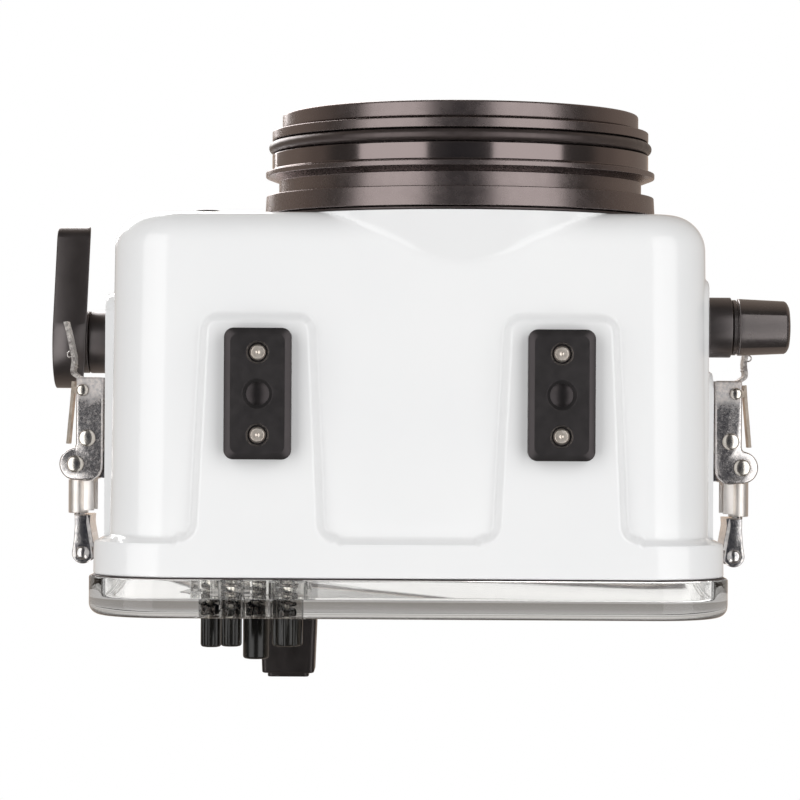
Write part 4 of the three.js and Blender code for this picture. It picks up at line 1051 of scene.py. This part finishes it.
def shutter_pieces():
    centre = (0, *SHUTTER)
    sizes = {"inner": -74.2, "face": -85.3, "outer": -95.8, "flange": 9.35, "edge": 0.35}
    gland("lever_gland", "shutter_gland", centre, **sizes)
    lever = join(lever_form(), rod("hub", 9.3, -100, LEVER_INNER, centre, "x", 160, 0.3))
    cut(lever, rod("socket", BORE, -103.4, -95, centre, "x", 40))
    put(flat_between(shade(lever, 40)), SATIN_BLACK, "shutter_lever")
    inner, end = -67.9, (-28, 115)
    put(shade(rod("lever_shaft", SHAFT_RADIUS, -103.1, inner, centre, "x", edge=0.3)), STEEL, "shutter_shaft")
    outline = taper_outline(SHUTTER, 6, end, 3, 24)
    arm = loft("lever_arm", [(inner - 6, outline), (inner, outline)], "x")
    join(arm, rod("finger", 3, inner - 1.1, -50, (0, *end), "x", 40, 0.6))
    cut(arm, rod("hole", BORE, inner - 7.1, inner + 1.9, centre, "x", 40))
    put(shade(soften(arm, 0.4), 40), BLACK, "shutter_arm")


def zoom_pieces():
    centre = (0, *ZOOM)
    sizes = {"inner": 74.2, "face": 83.25, "outer": 89.75, "flange": 8.4, "edge": 0.3}
    gland("knob_gland", "zoom_gland", centre, **sizes)
    start, end = 91.65, 105.7
    levels = [(90.05, 7.5, 0), (90.25, 7.75, 0), (91.1, 7.75, 0), (91.35, 7.4, 0), (start, 7.4, 0)]
    levels += [(91.8, 8.05, 1), (92, 8.18, 1), (92.44, 8.17, 1)]
    levels += [(x, 8.2 - 0.65 * (x - start) / (end - start), 1) for x in np.linspace(93.5, 104.8, 13)]
    levels += [(105.3, 7.3, 1), (105.6, 6.9, 1), (105.9, 6, 0), (106.1, 4.6, 0)]
    levels += [(106.25, 2.4, 0), (106.3, 0.7, 0)]
    turn = math.radians(9.5)
    rings = [(x, flatted_outline(radius, 5, 0.34 * share, turn)) for x, radius, share in levels]
    knob = cut(loft("control_knob", rings, "x", centre), rod("socket", BORE, 89, 99.4, centre, "x", 40))
    put(shade(knob, 9), KNOB_BLACK, "zoom_knob")
    put(shade(rod("knob_shaft", SHAFT_RADIUS, 50, 99.05, centre, "x", edge=0.3)), STEEL, "zoom_shaft")
    teeth = fluted_outline(8, 14, 1.6, 224, 0.75)
    rings = [(x, teeth * share) for x, share in ((50, 0.97), (50.3, 1), (54.7, 1), (55, 0.97))]
    pinion = cut(loft("knob_pinion", rings, "x", centre), rod("hole", BORE, 49, 56, centre, "x", 40))
    put(shade(pinion), BLACK, "zoom_pinion")


# Push buttons: node, axis, place, radius, travel, height, and which way along the axis they stand out
PUSH_BUTTONS = (
    ("top_button", "z", (-57, 4, BASE_HIGH), 6.4, 2, 3.6, 1),
    ("front_button", "y", (-61, SHELL_LOW[1], 100), 3.9, 1.8, 3.3, -1),
)


def top_and_front_pieces():
    centre = (-30, 8, BASE_HIGH)
    flutes = fluted_outline(13, 20, 0.6, 320, 0.6)
    rings = [(z, flutes * share) for z, share in ((0.3, 0.98), (0.55, 1), (6.6, 1), (7, 0.985), (7.4, 0.95))]
    rings += [(z, circle(radius, 320)) for z, radius in ((7.6, 11.9), (7.6, 10.6), (7.25, 10.2), (7.15, 1.5))]
    dial = join(loft("mode_wheel", rings, "z", centre), rod("stem", 3, -13, 1, centre, "z", 40))
    put(shade(dial, 35), BLACK, "top_dial")
    inner = -12
    for node, axis, place, radius, travel, height, outwards in PUSH_BUTTONS:
        low = GAP + travel
        top = low + height
        profile = [(ON_AXIS, inner), (3.4, inner), (3.4, inner + 1.5), (2, inner + 1.5), (2, low)]
        profile += [(radius, low), (radius, top - 0.7), (radius - 0.35, top - 0.15), (radius - 0.9, top)]
        profile += [(radius * 0.5, top - 0.12), (ON_AXIS, top - 0.2)]
        profile = [(r, outwards * along) for r, along in filleted(profile, 0.3)]
        put(shade(lathe(f"{node}_cap", profile, place, axis, 96)), BLACK, node)


# Latches, in a frame on the lever's pivot: x out from the body, y to the back, z up

PIVOT = (94.7, 18.7, 58)
LEVER_HALF = 12
LEVER_SHEET = 1.2
LEVER_REST = -24.7
BASE_PLATE = (-9.4, -8.2)
EAR_LOW = 7.5
LINK_PIN = (-3.3, -7.4)
LOCK_PIN = (-1.9, -21)
CLAW_PIN = (-1.85, 25.4)
PIVOT_RADIUS = 1.6
LINK_PIN_RADIUS = 1.2
LOCK_PIN_RADIUS = 0.8
CLAW_PIN_RADIUS = 1.2
STUD_RADIUS = 1.5
CLAW_FRONT = 14.6


def mirror(obj, side):
    """Moves a piece from the latch's frame to its side of the body."""
    for vertex in obj.data.vertices:
        x, y, z = vertex.co
        vertex.co = (side * (x + PIVOT[0] * MM), y + PIVOT[1] * MM, z + PIVOT[2] * MM)
    if side < 0:
        obj.data.flip_normals()
    return obj


def moved(obj, x, y, z=0):
    for vertex in obj.data.vertices:
        vertex.co = (vertex.co[0] + x * MM, vertex.co[1] + y * MM, vertex.co[2] + z * MM)
    return obj


def hole(radius, half, at=(0, 0), sides=32):
    """A cutter along Z."""
    return moved(rod("hole", radius, -half, half, axis="z", sides=sides), *at)


def strip_outline(points, thickness):
    """The outline of a bent sheet seen from its edge."""
    points = [np.array(p, float) for p in points]
    left, right = [], []
    for i, point in enumerate(points):
        before = points[max(i - 1, 0)]
        after = points[min(i + 1, len(points) - 1)]
        into, out = point - before, after - point
        into = into / (np.linalg.norm(into) or 1)
        out = out / (np.linalg.norm(out) or 1)
        if i == 0:
            into = out
        if i == len(points) - 1:
            out = into
        middle = into + out
        middle = middle / np.linalg.norm(middle)
        normal = np.array((-middle[1], middle[0]))
        reach = thickness / 2 / max(0.3, float(np.dot(middle, into)))
        left.append(point + normal * reach)
        right.append(point - normal * reach)
    return left + right[::-1]


def curve(points, steps=8):
    """A smooth line through points."""
    points = [np.array(p, float) for p in points]
    padded = [2 * points[0] - points[1]] + points + [2 * points[-1] - points[-2]]
    result = []
    for i in range(1, len(padded) - 2):
        a, b, c, d = padded[i - 1 : i + 3]
        for k in range(steps):
            t = k / steps
            bend = (2 * a - 5 * b + 4 * c - d) * t * t + (3 * b - a - 3 * c + d) * t**3
            result.append(0.5 * (2 * b + (c - a) * t + bend))
    result.append(points[-1])
    return result


def dome(radius, base, rim, height):
    """The profile of a domed head, from the edge of its underside to the axis."""
    points = [(radius, base)]
    for degrees in range(0, 90, 15):
        a = math.radians(degrees)
        points.append((radius * math.cos(a), base + rim + (height - rim) * math.sin(a)))
    return points + [(ON_AXIS, base + height)]


def headed_pin(name, radius, head, inner, height):
    """A pin along Z with a domed head at each end."""
    upper = [(radius, inner)] + dome(head, inner, 0.25, height)
    return lathe(name, [(r, -along) for r, along in reversed(upper)] + upper, axis="z", sides=48)


def latch_base_piece(label, side):
    """The plate on the side pad, its two ears and the countersinks of its screws."""
    low, high = BASE_PLATE
    base = slab("plate", rounded_outline([-22.2, 11.8], [-10.5, 10.5], 1.6, 6), 0, 1)
    for vertex in base.data.vertices:
        y, z, share = (value / MM for value in vertex.co)
        vertex.co = Vector((low + (high - low) * share, y, z)) * MM
    outward(base)
    ear = [(low, -4.2)] + arc((0, 0), 3.2, -90, 90, 20) + [(low, 4.2)]
    join(base, *slab_pair("ear", ear, EAR_LOW, EAR_LOW + LEVER_SHEET))
    cut(base, hole(PIVOT_RADIUS + GAP, 11))
    top, floor = -8.0, -8.6
    for y in (-17.5, 7.6):
        profile = [(ON_AXIS, top), (1.7, top), (1.2, floor), (ON_AXIS, floor)]
        cut(base, moved(lathe("screw", profile, axis="x", sides=32), 0, y))
    put(mirror(soften(shade(base), 0.25), side), NICKEL, f"latch_base_{label}")


def tab_pieces(label, side):
    """The lever's thin finger tab with its fine teeth, and the split ring in its eye."""
    body = BODIES[f"latch_lever_{label}"]
    line = [(-0.7, -24.2), (0.9, -25.1), (1.9, -26.3), (1.6, -29.6), (2.2, -33), (3, -36.8), (4, -40.6)]
    tab = slab("tab", strip_outline(curve(line, 5), 1.0), -4.2, 4.2)
    teeth, pitch = 12, 0.92
    for i in range(teeth):
        y = -27.6 - i * pitch
        x = 1.35 + max(0, -30 - y) * 0.21
        join(tab, slab("tooth", arc((x, y), 0.3, 0, 324, 10), -3.9, 3.9))
    tab = shade(apply_modifiers(soften(shade(tab), 0.12, 2)), 24)
    dress(mirror(tab, side), PALE_NICKEL, body)
    radius, wire = 0.85, 0.2
    angles = np.linspace(0, 2 * math.pi, 10, endpoint=False)
    loop = [(radius + wire * math.cos(a), wire * math.sin(a)) for a in angles]
    ring = moved(lathe("tab_ring", loop, axis="z", sides=32, ring=True), 2.5, -31.2, -3.7)
    dress(mirror(shade(ring, 80), side), NICKEL, body)


def lever_piece(label, side):
    """The lever: a folded channel, its corners rounded like bent sheet."""
    half, sheet, bulge = LEVER_HALF, LEVER_SHEET, 4.6
    outer, inner = -0.1, -7.8
    cheek = [(inner, LEVER_REST), (outer, LEVER_REST), (outer, -bulge - 1.2), (0.1, -bulge - 0.2)]
    cheek += arc((0, 0), bulge, -72, 92, 26)
    cheek += [(-3.6, 4.85), (-5.4, 4.5), (-6.9, 3.3), (-7.65, 1.6), (inner, -0.5)]
    body = apply_modifiers(soften(shade(slab("cheeks", cheek, -half, half)), 0.62, 5, 25))
    web, window = outer - sheet, -11.3
    inside = [(-9, -26), (web, -26), (web, window), (6, window), (6, 6), (-9, 6)]
    cut(body, slab("inside", inside, sheet - half, half - sheet))
    slot = rounded_outline([-2.3, 1.5], [LOCK_PIN[1] - 3.2, LOCK_PIN[1] + 3.2], 0.2, 2)
    cut(body, *slab_pair("slot", slot, 1.5, 3.3))
    tab_pieces(label, side)
    for at, pin in (((0, 0), PIVOT_RADIUS), (LINK_PIN, LINK_PIN_RADIUS), (LOCK_PIN, LOCK_PIN_RADIUS)):
        cut(body, hole(pin + GAP, half + 1, at))
    put(mirror(shade(body, 24), side), SHEET, f"latch_lever_{label}")


def lock_piece(label, side):
    line = curve([(1.7, -23.5), (2.1, -18), (2.65, -12), (3.2, -5.6)], 4)
    strip = slab("strip", strip_outline(line, 0.9), -3, 3)
    join(strip, *slab_pair("ear", taper_outline(LOCK_PIN, 2, (1.1, LOCK_PIN[1]), 1, 16), 1.8, 3))
    cut(strip, hole(LOCK_PIN_RADIUS + GAP, 4, LOCK_PIN, 24))
    put(mirror(soften(shade(strip), 0.15), side), TAN_STEEL, f"latch_lock_{label}")


def box_cutter(name, x, y, half):
    return slab(name, [(x[0], y[0]), (x[1], y[0]), (x[1], y[1]), (x[0], y[1])], -half, half)


def link_piece(label, side):
    """The link: a strap with an eye on its pin and a turned barrel that holds the claw's stud."""
    strap = box_cutter("strap", (-4.7, -1.8), (LINK_PIN[1], 13.4), 6)
    join(strap, moved(rod("eye", 2.3, -6, 6, axis="z", sides=40), *LINK_PIN))
    cut(strap, box_cutter("window", (-7, 0), (-3.8, 3.2), 3.6))
    cut(strap, box_cutter("fold", (-6, -3.9), (5.4, 14), 5))
    strap = apply_modifiers(soften(shade(strap), 0.25))
    barrel = rod("barrel", 3.15, 4.5, 14.3, sides=96, edge=0.3)
    cut(barrel, box_cutter("half", (-6, -2.4), (4, 15), 4))
    join(strap, barrel)
    cut(strap, hole(LINK_PIN_RADIUS + GAP, 7, LINK_PIN), rod("bore", STUD_RADIUS + GAP, 7, 15, sides=32))
    put(mirror(shade(strap, 24), side), SLEEVE_NICKEL, f"draw_link_{label}")


def claw_piece(label, side):
    """The claw: a channel of folded sheet with a curved web and a pin across its end."""
    inner_line = curve([(-3.3, CLAW_FRONT), (-3.2, 17), (-3.7, 20), (-4.35, 23.6)], 6)
    side_shape = [(0.5, CLAW_FRONT), (0.45, 18), (0.75, 22), (1.05, 24.2)]
    side_shape += arc(CLAW_PIN, 3.1, 0, 160, 24) + inner_line[::-1]
    straps = [apply_modifiers(soften(shade(s), 0.4, 4, 25)) for s in slab_pair("strap", side_shape, 7, 8.5)]
    claw = slab("web", strip_outline([p - (0.3, 0) for p in inner_line], 0.8), -8.3, 8.3)
    join(claw, slab("bridge", rounded_outline([-3.6, 0.5], [CLAW_FRONT, 16.7], 0.3, 3), -8.1, 8.1))
    join(claw, rod("stud", STUD_RADIUS, 7.3, 15, sides=32), *straps)
    join(claw, moved(headed_pin("pin", CLAW_PIN_RADIUS, 1.95, 8.5, 1.1), *CLAW_PIN))
    put(mirror(shade(claw, 24), side), NICKEL, f"draw_claw_{label}")


def keeper_piece(label, side):
    """The bent plate on the clear back, with the rolled lip that the claw's pin pulls on."""
    inner = BACK_HALF + GAP - PIVOT[0]
    outer, tip, roll = inner + 0.9, inner + 4, 0.45
    lip_rear = CLAW_PIN[1] - CLAW_PIN_RADIUS - 0.9
    lip_front = lip_rear - 0.9
    rear = BACK_REAR - 2.6 - PIVOT[1]
    outline = [(inner, lip_front), (tip - 0.4, lip_front)]
    outline += arc((tip - roll, lip_front + roll), roll, -70, 70, 6) + [(tip - roll, lip_rear)]
    outline += [(outer + 0.3, lip_rear), (outer, lip_rear + 0.3), (outer, rear), (inner, rear)]
    keeper = slab("keeper_plate", outline, -6, 6)
    put(mirror(soften(shade(keeper), 0.2), side), NICKEL, f"keeper_{label}")


def pin_pieces(label, side):
    inner = LEVER_HALF + GAP
    turned = (("link_pin", LINK_PIN, LINK_PIN_RADIUS, 2.4), ("lock_pin", LOCK_PIN, LOCK_PIN_RADIUS, 1.7))
    for node, at, radius, head in turned:
        pin = moved(headed_pin(f"{node}_{label}_turned", radius, head, inner, 0.9), *at)
        put(mirror(shade(pin, 50), side), BRIGHT_NICKEL, f"{node}_{label}")
    inside = EAR_LOW - GAP
    profile = [(ON_AXIS, inside), (PIVOT_RADIUS, inside), (PIVOT_RADIUS, inner)] + dome(2.4, inner, 0.2, 0.9)
    for sign, where in ((1, "upper"), (-1, "lower")):
        own = [(r, sign * along) for r, along in profile]
        rivet = lathe(f"pivot_{where}_{label}", own, axis="z", sides=48)
        put(mirror(shade(rivet, 50), side), BRIGHT_NICKEL, f"latch_pivot_{where}_{label}")


def latch_pieces():
    for side, label in ((-1, "left"), (1, "right")):
        latch_base_piece(label, side)
        lever_piece(label, side)
        lock_piece(label, side)
        link_piece(label, side)
        claw_piece(label, side)
        keeper_piece(label, side)
        pin_pieces(label, side)


# Stage and lights

AMBIENT = 0.375

# What reflections see, from straight down (0) to straight up (1)
SURROUNDINGS = (
    (0.0, (0.02, 0.022, 0.03)),
    (0.02, (0.06, 0.06, 0.065)),
    (0.08, (0.09, 0.085, 0.085)),
    (0.42, (0.07, 0.065, 0.06)),
    (0.56, (0.26, 0.22, 0.19)),
    (0.75, (0.4, 0.34, 0.29)),
    (0.96, (0.42, 0.36, 0.31)),
    (1, (0.72, 0.56, 0.44)),
)
BODY_MIDDLE = 58


def white_world():
    """White to the camera and through clear parts; reflections see a warm room above and a dim one below."""
    world = bpy.data.worlds.new("studio")
    bpy.context.scene.world = world
    world.use_nodes = True
    tree = world.node_tree
    rays = tree.nodes.new("ShaderNodeLightPath").outputs
    inputs = {0: rays["Is Camera Ray"], 1: rays["Is Transmission Ray"]}
    seen = add(tree, "Math", inputs, operation="MAXIMUM")
    height = along_axis(tree, add(tree, "TexCoord", {}, "Generated"), "Z")
    room = colour_steps(tree, spread(tree, height, 0, 1, -1, 1), SURROUNDINGS, "EASE")
    glossy = blend_colours(tree, rays["Is Glossy Ray"], (AMBIENT, AMBIENT, AMBIENT), room)
    feed(tree, tree.nodes["Background"], {"Color": blend_colours(tree, seen, glossy, (1, 1, 1))})


def softbox(name, place, size, power):
    """A rectangular lamp that points at the middle of the body."""
    data = bpy.data.lights.new(name, "AREA")
    data.shape = "RECTANGLE"
    data.size, data.size_y = size[0] * MM, size[1] * MM
    data.energy = power
    light = bpy.data.objects.new(name, data)
    bpy.context.scene.collection.objects.link(light)
    light.location = Vector(place) * MM
    aim = (Vector((0, 0, BODY_MIDDLE)) - Vector(place)).normalized()
    light.rotation_euler = aim.to_track_quat("-Z", "Y").to_euler()
    return light


def lights():
    distance = 900
    for side, angle in (("left", -41), ("right", 40)):
        a = math.radians(angle)
        place = (distance * math.sin(a), 0, BODY_MIDDLE - distance * math.cos(a))
        softbox(f"softbox_{side}", place, (1500, 700), 5.3)
    softbox("softbox_top", (-500, -700, 1100), (900, 900), 13)
    fill = softbox("softbox_back", (500, 900, 900), (800, 800), 9)
    fill.visible_glossy = False


def pale_floor():
    """A floor that only the camera sees, and only from above."""
    half = 6000
    points = [(-half, -half, 0), (half, -half, 0), (half, half, 0), (-half, half, 0)]
    floor = mesh_object("floor", points, [(0, 1, 2, 3)])
    material, tree, surface = node_material("floor")
    feed(tree, surface, {"Base Color": (0.9, 0.9, 0.9, 1), "Roughness": 0.9})
    front = add(tree, "Math", {0: 1, 1: add(tree, "NewGeometry", {}, "Backfacing")}, operation="SUBTRACT")
    seen = add(tree, "Math", {0: add(tree, "LightPath", {}, "Is Camera Ray"), 1: front}, operation="MULTIPLY")
    clear = add(tree, "BsdfTransparent", {})
    mix = add(tree, "MixShader", {0: seen, 1: clear, 2: surface.outputs["BSDF"]})
    feed(tree, tree.nodes["Material Output"], {"Surface": mix})
    floor.data.materials.append(material)


photo_camera()
white_world()
lights()
pale_floor()
shell_piece()
port_pieces()
foot_pieces()
tray_piece()
back_piece()
seal_piece()
button_pieces()
block_pieces()
shutter_pieces()
zoom_pieces()
top_and_front_pieces()
latch_pieces()

bpy.context.scene.view_settings.view_transform = "Standard"
